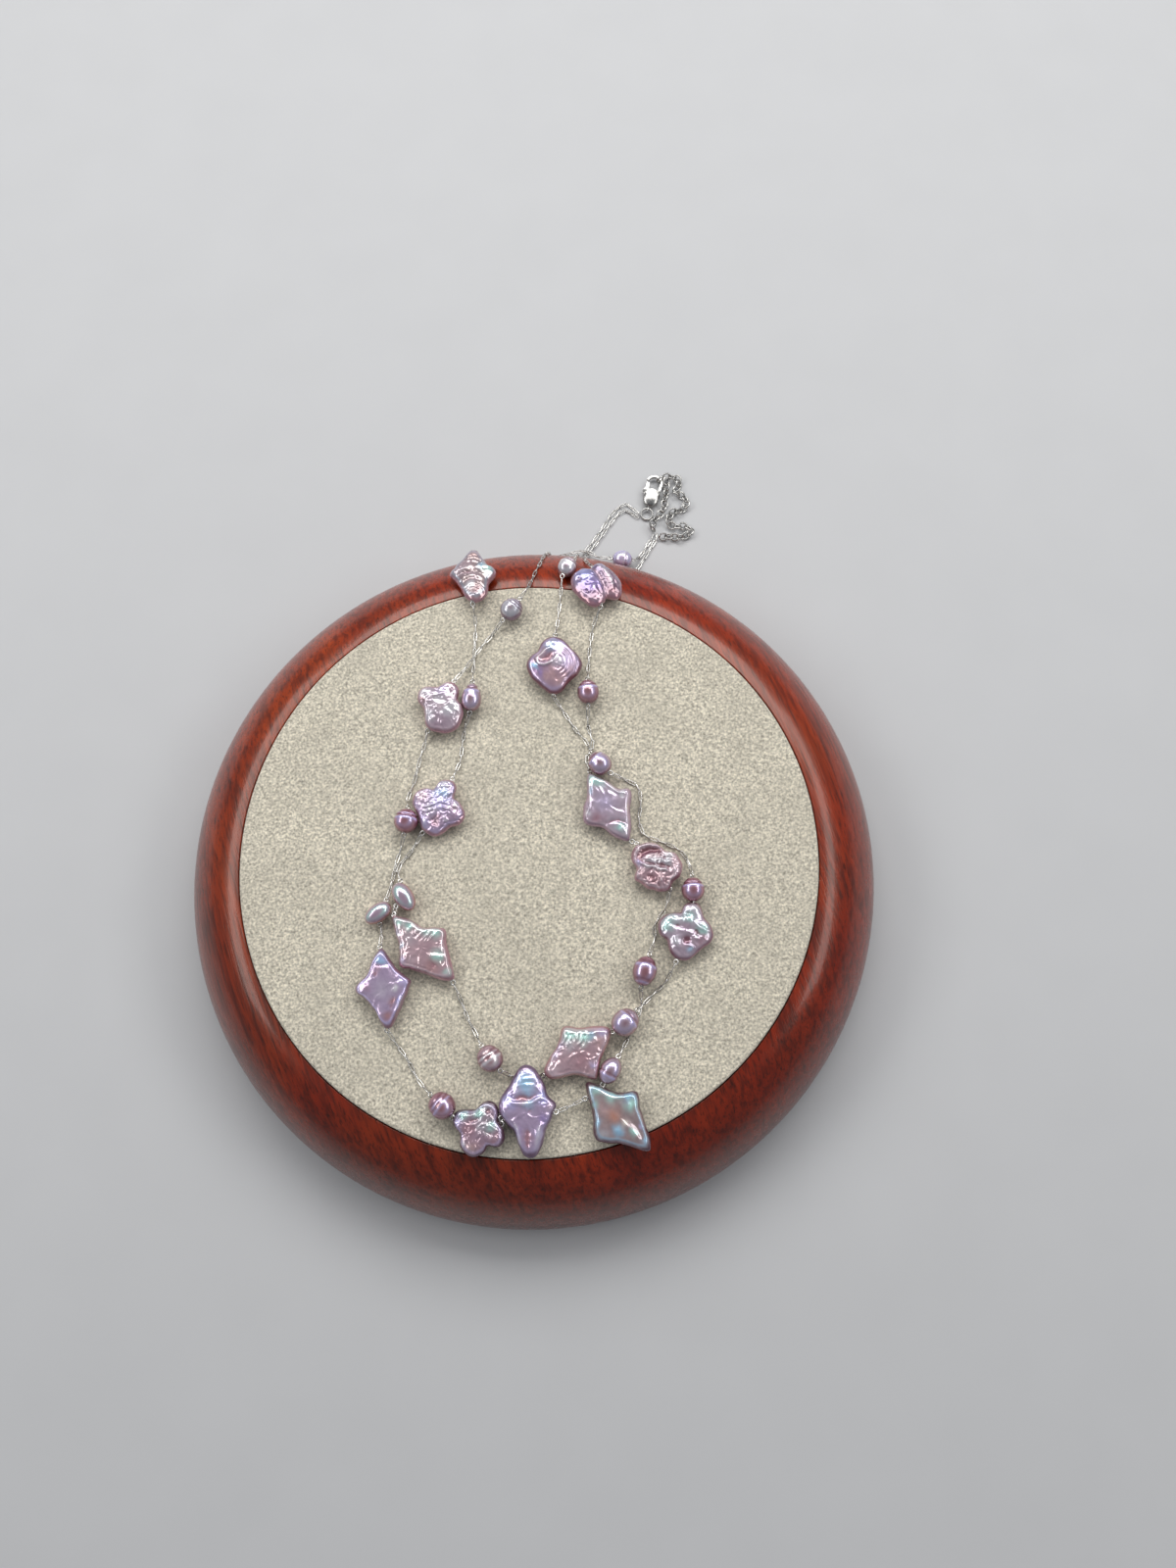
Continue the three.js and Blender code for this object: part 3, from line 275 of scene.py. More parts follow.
         (132, 7.2), (170, 6.0), (182, 5.1), (192, 5.0), (202, 5.8), (212, 6.4), (225, 6.0), (238, 5.9),
         (250, 6.2), (265, 6.2), (278, 6.7), (302, 6.8), (315, 6.0), (338, 6.7)],
     "folds": [(-1.0, 0.85, [(-4.6, 1.9), (-3.6, 3.2), (-1.8, 4.0), (1.0, 4.0)]),
         (0.45, 0.5, [(-5.3, 3.4), (-4.2, 5.0), (-2.0, 5.5), (1.0, 5.3)]),
         (0.5, 0.4, [(-4.8, 0.8), (-3.4, 0.2), (-2.2, -0.5),
         (-0.6, -0.4), (0.8, -1.2), (2.4, -1.2), (3.8, -1.9)]),
         (-0.45, 0.4, [(-3.6, 1.0), (-1.0, 0.4), (1.6, -0.1), (4.0, -0.6)]),
         (0.42, 0.38, [(-1.8, 1.7), (-0.6, 1.1), (1.0, 1.4), (2.4, 0.8), (4.4, 1.0)]),
         (-0.3, 0.4, [(-1.0, 2.2), (1.8, 2.0), (3.6, 1.8)]), (0.4, 0.7, [(2.6, 3.4), (4.4, 3.0)]),
         (0.3, 0.45, [(-5.2, -0.8), (-5.0, -2.2)]), (-0.45, 0.8, [(-2.4, -2.6), (0.0, -3.4)]),
         (-0.35, 0.5, [(2.0, -3.0), (2.8, -4.8)]), (0.28, 0.4, [(1.0, -2.6), (1.6, -4.6)]),
         (0.32, 0.4, [(4.6, -0.2), (5.0, -2.2), (4.0, -3.6)])],
     "tints_and_highlights": [("wine", -2.6, 3.6, 1.5, 0.8), ("wine", 0.4, 3.9, 1.1, 0.6), ("silver", -1.0, 0.8, 1.8, 0.9),
         ("silver", 2.4, 0.9, 1.8, 0.9), ("white", 3.7, 3.1, 1.2, 0.9), ("lilac", -4.8, 0.8, 1.2, 0.8),
         ("blush", -4.6, 4.4, 1.2, 0.7), ("rose", -0.8, -3.3, 2.2, 0.7), ("blush", 5.2, -1.4, 1.2, 0.8),
         ("blush", 0.0, 5.6, 1.4, 0.6)]},
    {"name": "pearl_flower_06", "x": -11.0, "y": -69.4, "thick": 4.2, "thread": 173, "threadY": 0.9,
     "full": 3.2, "rim": (0.14, 0.14, 0.07), "crumple": (0.1, 1.2), "body": "mauve", "skirt_and_dark_reflection": "plum",
     "crease_shade": "rosewood",
     "outline": [(8, 5.5), (20, 5.0), (32, 5.8), (47, 6.8), (68, 6.8), (88, 5.3), (97, 4.5), (108, 4.5),
         (155, 6.7), (175, 5.9), (192, 4.8), (204, 4.7), (228, 6.1), (252, 6.9), (286, 5.8), (301, 4.9),
         (320, 6.8), (355, 6.3)],
     "folds": [(0.35, 0.45, [(0.6, 5.0), (2.0, 5.6), (3.6, 5.0)]), (-0.45, 0.7, [(2.6, 4.0)]),
         (0.38, 0.6, [(-4.6, 3.0), (-2.6, 3.0), (-0.6, 3.4), (0.9, 3.7)]), (0.35, 0.35, [(0.2, 0.0)]),
         (0.35, 0.35, [(1.2, 1.0)]), (0.3, 0.35, [(-1.0, 1.0)]), (0.3, 0.35, [(0.6, -1.2)]),
         (0.38, 0.45, [(2.0, 0.7), (3.4, 0.5), (4.8, -0.6)]),
         (-0.35, 0.45, [(-2.6, 1.2), (-1.0, 1.8), (0.4, 2.0)]), (-0.3, 0.45, [(2.0, -1.0), (3.6, -1.4)]),
         (0.28, 0.45, [(-3.4, -3.2), (-3.2, -5.0)]), (0.25, 1.1, [(-1.4, -4.4)]),
         (0.25, 1.0, [(4.4, -2.6)])],
     "tints_and_highlights": [("mint", -3.8, 3.2, 1.4, 0.9), ("mint", 0.4, 3.6, 1.3, 0.9), ("lilac", -5.2, 1.4, 1.3, 0.9),
         ("white", 2.2, 5.5, 1.1, 0.8), ("mint", 3.4, 0.4, 1.4, 0.8), ("silver", 0.4, 0.2, 1.2, 0.7),
         ("peach", -1.6, -5.0, 2.0, 0.7), ("rose", 4.6, -3.0, 1.6, 0.6), ("white", -3.5, -4.2, 0.7, 0.7),
         ("rose", -2.4, -0.2, 1.6, 0.6)]},
    {"name": "pearl_flower_07", "x": -24.6, "y": 40.8, "thick": 4.6, "thread": 65, "full": 3.0,
     "rim": (0.08, 0.15, 0.07), "crumple": (0.07, 1.3), "body": "dusk", "skirt_and_dark_reflection": "rose", "crease_shade": "mauve",
     "outline": [(23, 5.15), (46, 7.0), (60, 7.3), (72, 7.2), (85, 6.2), (96, 5.4), (108, 5.7), (120, 6.5),
         (158, 6.5), (170, 5.6), (180, 4.7), (205, 4.4), (220, 5.0), (232, 6.0), (243, 6.7), (267, 7.2),
         (293, 7.9), (333, 7.0), (358, 6.2)],
     "folds": [(0.13, 0.6, [(-3.2, 1.4), (-2.1, 2.6), (0.2, 3.1), (2.2, 2.4)]),
         (-0.16, 0.9, [(-1.0, 1.4), (0.8, 1.4)]), (0.09, 0.45, [(-1.0, -0.8), (0.4, -0.1), (1.6, 0.4)]),
         (0.07, 0.7, [(-2.9, 1.3), (-3.3, -1.7)]), (0.16, 0.9, [(2.6, 1.2), (4.4, -0.2)]),
         (0.07, 0.5, [(1.6, -1.0), (3.6, -2.8)]), (-0.07, 0.45, [(2.4, -0.8), (4.4, -2.2)]),
         (0.1, 0.5, [(0.4, -1.6), (1.4, -3.8)]), (-0.4, 0.45, [(3.0, 5.4), (3.4, 3.8)]),
         (0.3, 1.0, [(2.0, 5.9)]), (0.3, 1.0, [(-4.6, 4.0)]), (-0.3, 0.6, [(-4.8, 1.3)]),
         (0.2, 1.0, [(-1.9, -4.2)]), (0.2, 1.0, [(1.3, -5.0)]), (-0.14, 0.8, [(-0.4, -3.6), (-0.3, -5.6)])],
     "tints_and_highlights": [("white", -4.4, 4.0, 1.8, 0.7), ("blush", 2.4, 5.8, 2.0, 0.9), ("lilac", 0.6, 4.6, 1.4, 0.6),
         ("silver", -0.2, 1.4, 1.6, 0.7), ("white", 4.0, -0.2, 1.4, 0.7), ("silver", 2.6, -1.6, 2.0, 0.8),
         ("copper", -4.8, 1.3, 0.9, 0.7), ("silver", -2.6, -3.0, 1.8, 0.7), ("mauve", 0.2, -5.4, 2.2, 0.6),
         ("blush", 0.4, 0.0, 1.0, 0.7)]},
    {"name": "pearl_diamond_01", "x": 14.0, "y": -51.0, "thick": 4.6, "thread": 34, "full": 4.4,
     "rim": (0.18, 0.15, 0.06), "crumple": (0.09, 1.7), "body": "rosepink", "skirt_and_dark_reflection": "copper",
     "crease_shade": "rose",
     "outline": [(12, 7.0), (23, 8.2), (38, 9.5), (45, 9.0), (56, 7.8), (99, 6.1), (112, 6.9), (121, 7.2),
         (145, 5.9), (160, 5.6), (193, 7.7), (211, 9.9), (224, 9.4), (232, 8.0), (257, 5.5), (294, 6.9),
         (302, 7.6), (319, 6.4), (335, 5.7)],
     "folds": [(0.3, 0.55, [(-3.8, 5.2), (-1.0, 4.9), (2.4, 4.7), (6.8, 5.2)]),
         (0.3, 0.35, [(-3.4, 4.6), (-3.6, 3.2), (-4.4, 2.0)]),
         (0.32, 0.32, [(-2.0, 4.6), (-2.2, 3.0), (-3.0, 1.4)]), (0.3, 0.32, [(-0.6, 4.6), (-0.8, 3.2)]),
         (0.3, 0.32, [(0.8, 4.2), (0.6, 2.6), (-0.8, 1.4)]),
         (0.3, 0.32, [(2.4, 4.4), (1.8, 3.0), (2.6, 1.8)]), (-0.3, 0.35, [(-1.4, 4.2), (-1.5, 2.4)]),
         (-0.3, 0.35, [(1.6, 3.9), (1.1, 2.0)]), (0.28, 0.32, [(3.6, 3.8), (4.4, 2.4)]),
         (0.16, 0.6, [(-4.2, -3.0), (-2.2, -1.6), (-0.8, 0.2)]), (0.28, 0.35, [(3.8, -1.4), (3.9, -4.2)]),
         (0.1, 0.4, [(-1.6, -0.8), (0.4, -0.2), (2.4, -1.0)]), (-0.24, 0.7, [(1.6, 0.8), (3.0, -0.4)]),
         (0.25, 0.5, [(-5.6, 1.6), (-7.0, -1.4)])],
     "tints_and_highlights": [("mint", -2.4, 4.4, 1.8, 0.9), ("mint", 1.2, 4.0, 1.8, 0.9), ("lilac", 6.2, 5.0, 1.6, 0.9),
         ("periwinkle", -5.4, 2.0, 1.3, 0.8), ("lilac", -6.8, -0.8, 1.2, 0.8),
         ("blush", -6.8, -4.0, 2.0, 0.9), ("lilac", 3.9, -3.0, 0.9, 0.9), ("peach", 5.4, 2.6, 1.4, 0.7),
         ("silver", -2.4, 1.6, 1.6, 0.6), ("rose", 0.6, -2.2, 2.2, 0.6), ("cyan", 3.0, 4.2, 1.0, 0.6)]},
    {"name": "pearl_diamond_02", "x": -27.0, "y": -24.7, "thick": 4.4, "thread": 315, "full": 4.6,
     "rim": (0.22, 0.14, 0.05), "crumple": (0.08, 1.7), "body": "rosepink", "skirt_and_dark_reflection": "rose", "crease_shade": "rose",
     "outline": [(0, 6.7), (17, 6.6), (32, 7.3), (40, 7.5), (49, 6.7), (76, 5.1), (95, 5.4), (118, 8.4),
         (125, 9.4), (132, 10.9), (136, 10.9), (140, 9.9), (148, 8.2), (159, 6.8), (195, 5.6), (210, 6.3),
         (222, 6.9), (230, 6.8), (242, 6.1), (261, 6.0), (292, 7.9), (302, 9.6), (310, 11.0), (319, 11.5),
         (323, 10.6)],
     "folds": [(0.34, 0.7, [(-7.1, 7.1), (-4.0, 6.5), (-2.0, 5.3), (0.0, 4.2), (2.6, 4.2), (5.2, 4.0)]),
         (0.32, 0.4, [(-6.8, 5.2), (-5.7, 1.6), (-5.2, -1.2), (-5.0, -4.0)]),
         (0.16, 0.32, [(-0.6, 4.2), (-2.2, 2.6)]), (0.16, 0.32, [(0.8, 4.0), (-1.2, 2.0)]),
         (0.16, 0.32, [(2.2, 3.6), (0.2, 1.6)]), (0.16, 0.32, [(-2.6, 5.0), (-4.0, 3.4)]),
         (-0.13, 0.34, [(0.0, 4.0), (-1.8, 2.2)]), (-0.13, 0.34, [(1.6, 3.6), (-0.4, 1.6)]),
         (-0.13, 0.34, [(-1.8, 4.4), (-3.2, 2.8)]), (0.2, 0.3, [(3.6, 3.2), (1.8, 1.4)]),
         (0.26, 0.4, [(5.3, 1.4), (5.3, -1.0)]), (0.3, 0.6, [(2.4, -2.3), (4.2, -2.4), (6.2, -2.8)]),
         (0.12, 0.6, [(-4.4, -2.0), (-1.8, -2.3), (0.4, -1.0)]), (-0.3, 0.8, [(2.2, -4.4), (5.0, -5.2)]),
         (0.28, 0.4, [(7.0, -4.6), (7.8, -7.2)])],
     "tints_and_highlights": [("mint", -6.4, 7.0, 1.6, 1.0), ("mint", 1.2, 4.8, 1.5, 0.9), ("mint", 3.8, 4.2, 1.6, 1.0),
         ("mint", -3.0, 6.0, 1.5, 0.9), ("cyan", -6.4, 3.6, 0.8, 1.0), ("cyan", -5.4, 0.0, 0.8, 1.0),
         ("lilac", -5.0, -3.6, 0.9, 0.9), ("mint", 4.6, -2.5, 1.5, 0.9), ("silver", -3.0, 2.0, 2.0, 0.4),
         ("blush", -2.4, -3.6, 1.8, 0.4), ("mint", 7.6, -6.4, 0.9, 0.9), ("copper", 3.0, -5.2, 2.0, 0.5)]},
    {"name": "pearl_diamond_03", "x": 21.4, "y": 13.1, "thick": 4.4, "thread": 300, "full": 5.0,
     "rim": (0.12, 0.13, 0.05), "crumple": (0.05, 2.4), "body": "dusk", "skirt_and_dark_reflection": "mauve", "crease_shade": "rose",
     "outline": [(16, 6.1), (26, 6.7), (43, 6.7), (50, 5.7), (70, 5.2), (98, 7.0), (109, 8.1), (122, 9.9),
         (130, 8.9), (139, 7.5), (156, 6.1), (188, 6.6), (222, 7.5), (231, 7.0), (256, 6.2), (288, 9.5),
         (294, 10.4), (299, 10.9), (306, 9.7), (326, 7.0)],
     "folds": [(0.36, 0.32, [(-5.3, 6.0), (-5.0, 2.6), (-5.0, -0.6), (-6.0, -3.3)]),
         (0.34, 0.8, [(-4.4, 7.1), (-2.1, 6.3)]),
         (0.42, 0.45, [(-1.0, 6.0), (1.0, 4.3), (3.0, 3.1), (4.8, 3.4)]),
         (0.36, 0.28, [(5.1, 2.9), (4.8, -0.6), (5.1, -6.4)]),
         (-0.4, 0.5, [(-0.6, -5.2), (1.4, -4.6), (3.0, -4.6), (5.0, -5.2)]),
         (0.42, 1.2, [(3.2, -6.2), (4.2, -7.4)]), (0.08, 0.9, [(-3.0, 2.4)]), (0.08, 0.9, [(-2.4, 0.4)]),
         (0.08, 0.9, [(1.2, 0.8)]), (-0.08, 0.9, [(-0.6, 2.0)]), (-0.1, 0.9, [(2.6, -1.2)]),
         (0.08, 0.9, [(0.6, -2.4)]), (-0.2, 1.0, [(-3.2, -3.8)])],
     "tints_and_highlights": [("mint", -4.6, 7.2, 2.0, 1.0), ("mint", -2.1, 6.3, 1.2, 0.8), ("white", 1.0, 4.4, 1.0, 0.8),
         ("white", 3.6, 3.1, 1.0, 0.8), ("cyan", -5.2, 3.4, 0.7, 0.9), ("white", -5.8, -2.4, 0.8, 0.7),
         ("mint", 3.4, -6.2, 1.2, 1.0), ("lilac", -1.0, 0.6, 2.6, 0.35), ("rose", -3.0, -4.0, 1.8, 0.7),
         ("silver", 4.8, -8.0, 1.4, 0.6), ("cream", 5.0, -0.6, 0.6, 0.8)]},
    {"name": "pearl_diamond_04", "x": 24.2, "y": -66.7, "thick": 4.6, "thread": 216, "threadX": -6.2,
     "threadY": 6.0, "full": 4.0, "rim": (0.16, 0.17, 0.055), "crumple": (0.03, 3.0), "body": "brown",
     "skirt_and_dark_reflection": "plum", "crease_shade": "brown",
     "outline": [(10, 5.5), (30, 5.7), (46, 6.8), (53, 7.3), (61, 7.1), (76, 6.1), (109, 6.8), (127, 9.8),
         (133, 11.3), (137, 11.4), (141, 10.6), (146, 9.5), (184, 6.4), (216, 7.5), (225, 7.6), (236, 7.0),
         (274, 6.2), (301, 8.6), (309, 10.1), (314, 10.6), (320, 9.9), (337, 7.4)],
     "folds": [(0.36, 0.45, [(-7.9, 7.6), (-6.6, 3.6), (-5.7, 0.0), (-5.4, -3.8)]),
         (0.36, 0.75, [(-7.6, 7.7), (-4.8, 6.3), (-1.7, 4.9), (2.9, 5.3)]),
         (0.34, 0.5, [(3.6, 4.4), (4.2, 1.7), (5.8, -2.1), (6.8, -5.8)]),
         (0.22, 0.55, [(-0.6, 0.4), (1.4, -1.6), (4.4, -4.8)]),
         (-0.36, 0.7, [(2.0, 0.4), (4.4, -2.4), (5.8, -5.0)]), (-0.3, 0.9, [(-3.0, -1.8), (-1.4, -4.0)]),
         (0.26, 0.9, [(-0.2, -2.9)]), (-0.22, 1.3, [(-3.6, 2.6)]), (0.22, 0.9, [(2.6, 2.8)])],
     "tints_and_highlights": [("mint", -5.6, 6.8, 1.6, 1.0), ("mint", -1.8, 5.0, 1.6, 1.0), ("cyan", 2.4, 5.0, 1.4, 1.0),
         ("mint", 2.9, 2.9, 1.5, 0.9), ("mint", -6.4, 3.0, 1.0, 1.0), ("cyan", -5.5, -1.0, 0.9, 0.9),
         ("orange", -1.4, 0.4, 1.7, 0.8), ("cyan", -0.3, -3.0, 1.2, 1.0), ("cream", 1.4, -1.4, 0.8, 0.9),
         ("mint", 3.4, -3.6, 0.8, 0.8), ("lilac", 5.6, -2.0, 0.8, 0.8), ("cyan", 6.6, -5.4, 0.8, 0.7),
         ("silver", -4.0, -4.0, 1.4, 0.6), ("peach", -3.8, 2.6, 1.8, 0.6)]},
    {"name": "pearl_diamond_05", "x": 1.2, "y": -65.6, "thick": 4.8, "raise": 0.25, "thread": 182,
     "threadY": -0.4, "full": 2.8, "rim": (0.06, 0.15, 0.07), "crumple": (0.06, 1.8), "body": "heather",
     "skirt_and_dark_reflection": "grape", "crease_shade": "rose",
     "outline": [(0, 6.4), (15, 7.3), (32, 6.5), (42, 6.4), (55, 7.5), (72, 9.3), (80, 10.6), (101, 10.9),
         (107, 9.9), (125, 7.8), (138, 7.5), (180, 6.8), (194, 6.1), (222, 5.4), (239, 5.7), (259, 8.6),
         (266, 10.0), (280, 10.7), (294, 8.9), (312, 6.6), (350, 6.2)],
     "folds": [(-0.6, 0.65, [(-3.2, 3.0), (-1.2, 3.5), (0.6, 3.2), (1.8, 3.8)]),
         (0.4, 0.6, [(-5.2, 2.9), (-2.8, 2.2), (0.2, 2.1), (3.4, 3.4), (5.6, 3.0)]),
         (0.5, 0.7, [(-3.0, -2.6), (-2.2, -4.8), (-1.4, -8.4)]),
         (0.5, 0.8, [(3.2, -2.8), (3.0, -5.0), (2.4, -8.6)]), (-0.45, 0.7, [(0.2, -4.0), (0.4, -8.6)]),
         (0.12, 0.35, [(-1.8, 8.0), (1.4, 8.2)]), (0.1, 0.35, [(-2.0, 6.4), (1.6, 6.6)]),
         (-0.1, 0.3, [(-1.8, 7.2), (1.4, 7.4)]), (0.1, 0.35, [(-2.2, 5.0), (1.8, 5.2)]),
         (-0.2, 0.6, [(-1.0, 0.6), (1.6, 0.4)]), (0.22, 0.45, [(-6.2, 1.2), (-5.0, -0.8)])],
     "tints_and_highlights": [("cyan", -0.4, 7.6, 2.2, 0.9), ("cyan", 0.0, 5.2, 1.6, 0.7), ("cyan", 0.6, 2.0, 1.3, 0.9),
         ("periwinkle", -4.6, 2.8, 1.8, 0.8), ("periwinkle", 4.0, 3.8, 1.6, 0.9),
         ("heather", 0.0, -0.8, 2.6, 0.8), ("rose", -1.2, 3.5, 0.9, 0.6), ("rose", 0.3, -5.8, 1.2, 0.5),
         ("violet", -2.4, -5.0, 1.0, 0.8), ("lilac", 2.9, -5.0, 1.1, 1.0), ("blush", 6.2, 1.2, 1.2, 0.7),
         ("plum", 0.8, -10.2, 1.5, 0.9), ("violet", 4.4, -1.6, 1.4, 0.6)]},
    {"name": "pearl_diamond_06", "x": -36.6, "y": -35.3, "thick": 4.2, "thread": 97, "full": 4.8,
     "rim": (0.3, 0.13, 0.05), "crumple": (0.05, 2.2), "body": "heather", "skirt_and_dark_reflection": "rosewood",
     "crease_shade": "rose",
     "outline": [(4, 6.8), (12, 7.3), (31, 6.5), (62, 6.3), (84, 8.6), (90, 9.7), (95, 10.2), (100, 9.5),
         (133, 5.6), (148, 5.4), (161, 5.9), (182, 6.8), (191, 6.4), (201, 5.4), (221, 4.8), (246, 5.3),
         (262, 6.6), (270, 8.3), (280, 9.9), (286, 9.8), (292, 9.0), (337, 6.3), (351, 6.5)],
     "folds": [(0.3, 1.2, [(-0.6, 8.2)]), (-0.22, 0.45, [(-2.6, 6.2), (-0.6, 5.9), (1.6, 6.4)]),
         (0.16, 0.6, [(3.2, -0.1), (4.1, 0.4)]), (-0.28, 0.5, [(3.3, -1.6), (3.0, -3.4), (2.1, -6.4)]),
         (0.3, 0.5, [(5.4, -1.6), (4.8, -3.8), (4.0, -6.4)]), (0.12, 0.5, [(1.8, 1.0), (3.6, 0.8)]),
         (-0.1, 0.5, [(-1.5, 5.4), (-1.6, 3.0)]), (0.16, 0.8, [(-3.8, 0.2)]), (0.14, 0.7, [(0.2, -2.4)])],
     "tints_and_highlights": [("periwinkle", -0.7, 8.2, 1.8, 1.0), ("cyan", -0.4, 7.2, 1.2, 0.7),
         ("white", 3.7, 0.2, 0.8, 1.0), ("rose", -1.6, 4.2, 0.9, 0.8), ("copper", 3.0, -3.0, 0.9, 0.8),
         ("copper", 1.8, -7.2, 1.2, 0.8), ("periwinkle", 5.0, -2.8, 0.8, 0.9),
         ("lilac", 5.8, 2.2, 1.2, 0.8), ("silver", 0.4, -0.6, 2.4, 0.4), ("lilac", -5.4, 1.4, 1.2, 0.7),
         ("rose", -3.8, 0.4, 1.0, 0.4)]},
]

# The strands from the clasp's jump ring round to the connector ring, as in the part. A row is a point
# (x, y) on what lies below it, (x, y, z), "floor" with a point beside the stand, "nose" with the ends of a
# way over the stand's edge, or the name of a pearl. "split" starts the next stretch inside the last pearl.
STRANDS = {
    "strand_1": [
        (30.6, 114.3), (28.5, 116.2), (26.2, 117.3), (22.6, 114.6), (19.4, 109.4), (16.4, 104.8),
        (14.0, 101.4), ("nose", (12.6, 99.2), (11.5, 88.4)), "pearl_small_01", (7.9, 74.2), (7.2, 66.5),
        "pearl_flower_01", (8.6, 40.6), (12.4, 34.8), (15.2, 31.4), "pearl_small_02", (26.0, 20.6),
        (29.2, 18.6), (30.0, 14.4), (29.6, 9.4), (31.0, 5.6), (34.4, 4.0), (39.8, 1.6), (42.4, -1.8),
        "pearl_small_03", "pearl_flower_02", (36.3, -32.8), (32.6, -36.6), "pearl_small_04", "split",
        "pearl_diamond_01", (2.4, -57.0), (-2.8, -56.8), "pearl_small_05", (-14.5, -42.8), (-16.4, -38.2),
        "pearl_diamond_02", "split", "pearl_small_06", (-34.1, -3.6), (-31.4, 0.4), "pearl_flower_03",
        (-18.7, 26.4), (-17.9, 34.2), "pearl_small_07", (-15.9, 53.0), (-15.8, 58.0), (-15.8, 65.6),
        "pearl_star", "split", ("nose", (-17.2, 91.6), (-16.2, 98.0)), ("floor", (-12.0, 98.0)),
        ("floor", (-5.0, 96.0)), ("floor", (2.0, 94.9)), ("floor", (9.0, 94.4)), ("floor", (15.0, 93.8)),
        ("floor", (21.0, 92.8)), ("floor", (26.6, 92.6)), ("floor", (30.0, 95.4)), (32.2, 98.9),
        (34.4, 102.6), (36.0, 105.6), (36.2, 107.3),
    ],
    "strand_2": [
        (30.6, 112.9), (26.4, 115.1), (23.4, 113.0), (20.4, 108.6), (17.4, 104.0), (15.2, 100.8),
        ("nose", (14.1, 99.0), (14.4, 88.6)), "pearl_flower_04", (17.2, 65.0), (16.2, 58.0), (15.8, 52.6),
        "pearl_small_08", (15.8, 36.2), (17.0, 30.6), (15.6, 26.6), "pearl_diamond_03", "pearl_flower_05",
        (36.2, -14.2), (33.5, -18.4), (33.4, -22.0), "pearl_small_09", "split", (29.8, -38.4),
        (29.3, -40.8), (28.5, -43.6), (26.8, -46.8), "pearl_small_10", "pearl_diamond_04",
        (11.6, -64.2, 30.6), "pearl_diamond_05", "pearl_flower_06", "pearl_small_11", (-26.6, -58.0),
        (-29.9, -52.6), (-32.4, -49.4), "pearl_diamond_06", "split", (-37.9, -20.6), "pearl_small_12",
        (-35.6, -6.4), (-34.8, -2.0), "pearl_small_13", (-32.5, 15.4), (-31.2, 19.4), (-29.6, 27.0),
        "pearl_flower_07", (-18.2, 52.2, 30.0), (-15.9, 55.3, 30.6), (-13.4, 59.2, 30.0), (-11.0, 62.4),
        "pearl_small_14", "split", (-0.8, 77.6), (0.4, 81.8), (1.1, 84.0), ("nose", (1.8, 86.2), (4.6, 99.4)),
        (8.0, 100.2, 0.8), (11.2, 100.8, 1.5), (13.4, 101.0, 1.7), (15.8, 100.4, 1.5), (18.0, 99.2, 1.4),
        "pearl_small_15", (31.0, 99.8), (33.2, 103.4), (34.7, 105.8), (34.9, 107.2),
    ],
}
STRETCHES = ("right", "front", "left", "back")

# The routes of the extender's two lengths of chain, as in the part, with rows like those of the strands.
EXTENDERS = {
    "extender_chain": [
        (35.0, 110.8), (36.4, 112.6), (37.8, 114.3), (38.6, 116.3), (38.8, 118.4), (39.2, 120.6),
        (39.5, 122.6), (39.4, 124.8, 1.3),
    ],
    "extender_tail": [
        (39.5, 126.3, 1.3), (41.5, 126.4), (43.2, 125.4), (43.1, 123.3), (42.1, 121.4), (43.8, 120.2),
        (45.4, 118.5), (45.2, 116.2), (43.4, 114.8), (41.3, 114.4), (40.2, 112.5), (40.3, 110.2),
        (42.5, 109.4), (44.8, 109.5), (46.8, 108.2), (45.3, 106.4), (42.9, 105.8), (40.5, 106.1),
        (38.2, 106.0),
    ],
}

# The rings at the ends: place, middle radius, wire radius, bearing and tilt of each, and where it is joined.
RINGS = [
    {"name": "clasp_jump_ring", "at": (33.2, 113.9, 0.8), "radius": 1.75, "wire": 0.33, "turn": 77,
     "tilt": 12, "join": 200},
    {"name": "connector_ring", "at": (34.9, 108.9, 1.6), "radius": 1.2, "wire": 0.34, "turn": 32, "tilt": 90,
     "join": 60},
    {"name": "extender_hooked_link", "at": (37.5, 125.4, 1.6), "radius": 1.3, "wire": 0.3, "turn": 122,
     "tilt": 90, "join": 250},
]

# The clasp lies flat, with its hook towards the back. body is its belly's middle, half width and half length,
# in the clasp's own frame, whose second axis runs from its tail to its hook.
CLASP = {"x": 33.75, "y": 116.3, "turn": -13, "middle": 1.3, "body": (0.1, 2.9, 2.45, 2.9)}


# ---------------------------------------------------------------------------------------------------------
# Geometry shared with the part
# ---------------------------------------------------------------------------------------------------------

def nose_point(turn, lift):
    """A point of the stand's nose grown by lift: (radius, height). 0 is its widest line, 1 its top."""
    angle = turn * math.pi / 2
    power = 2 / NOSE_POWER
    return (
        PAD_RADIUS + (WOOD_RADIUS + lift - PAD_RADIUS) * max(math.cos(angle), 0.0) ** power,
        NOSE_BOTTOM + (WOOD_TOP + lift - NOSE_BOTTOM) * math.sin(angle) ** power,
    )


def nose_turn(radius, lift):
    across = (radius - PAD_RADIUS) / (WOOD_RADIUS + lift - PAD_RADIUS)
    return math.acos(min(across, 1.0) ** (NOSE_POWER / 2)) / (math.pi / 2)


def rest_height(radius, lift):
    """Height at which something rests on the stand's top or nose, or beside the stand."""
    if radius <= PAD_RADIUS:
        return PAD_TOP + lift
    if radius >= WOOD_RADIUS + lift:
        return lift
    bridge = PAD_TOP + lift - EDGE_SLOPE * max(radius - PAD_RADIUS - PAD_EDGE_ROUND, 0.0)
    return max(bridge, nose_point(nose_turn(radius, lift), lift)[1])


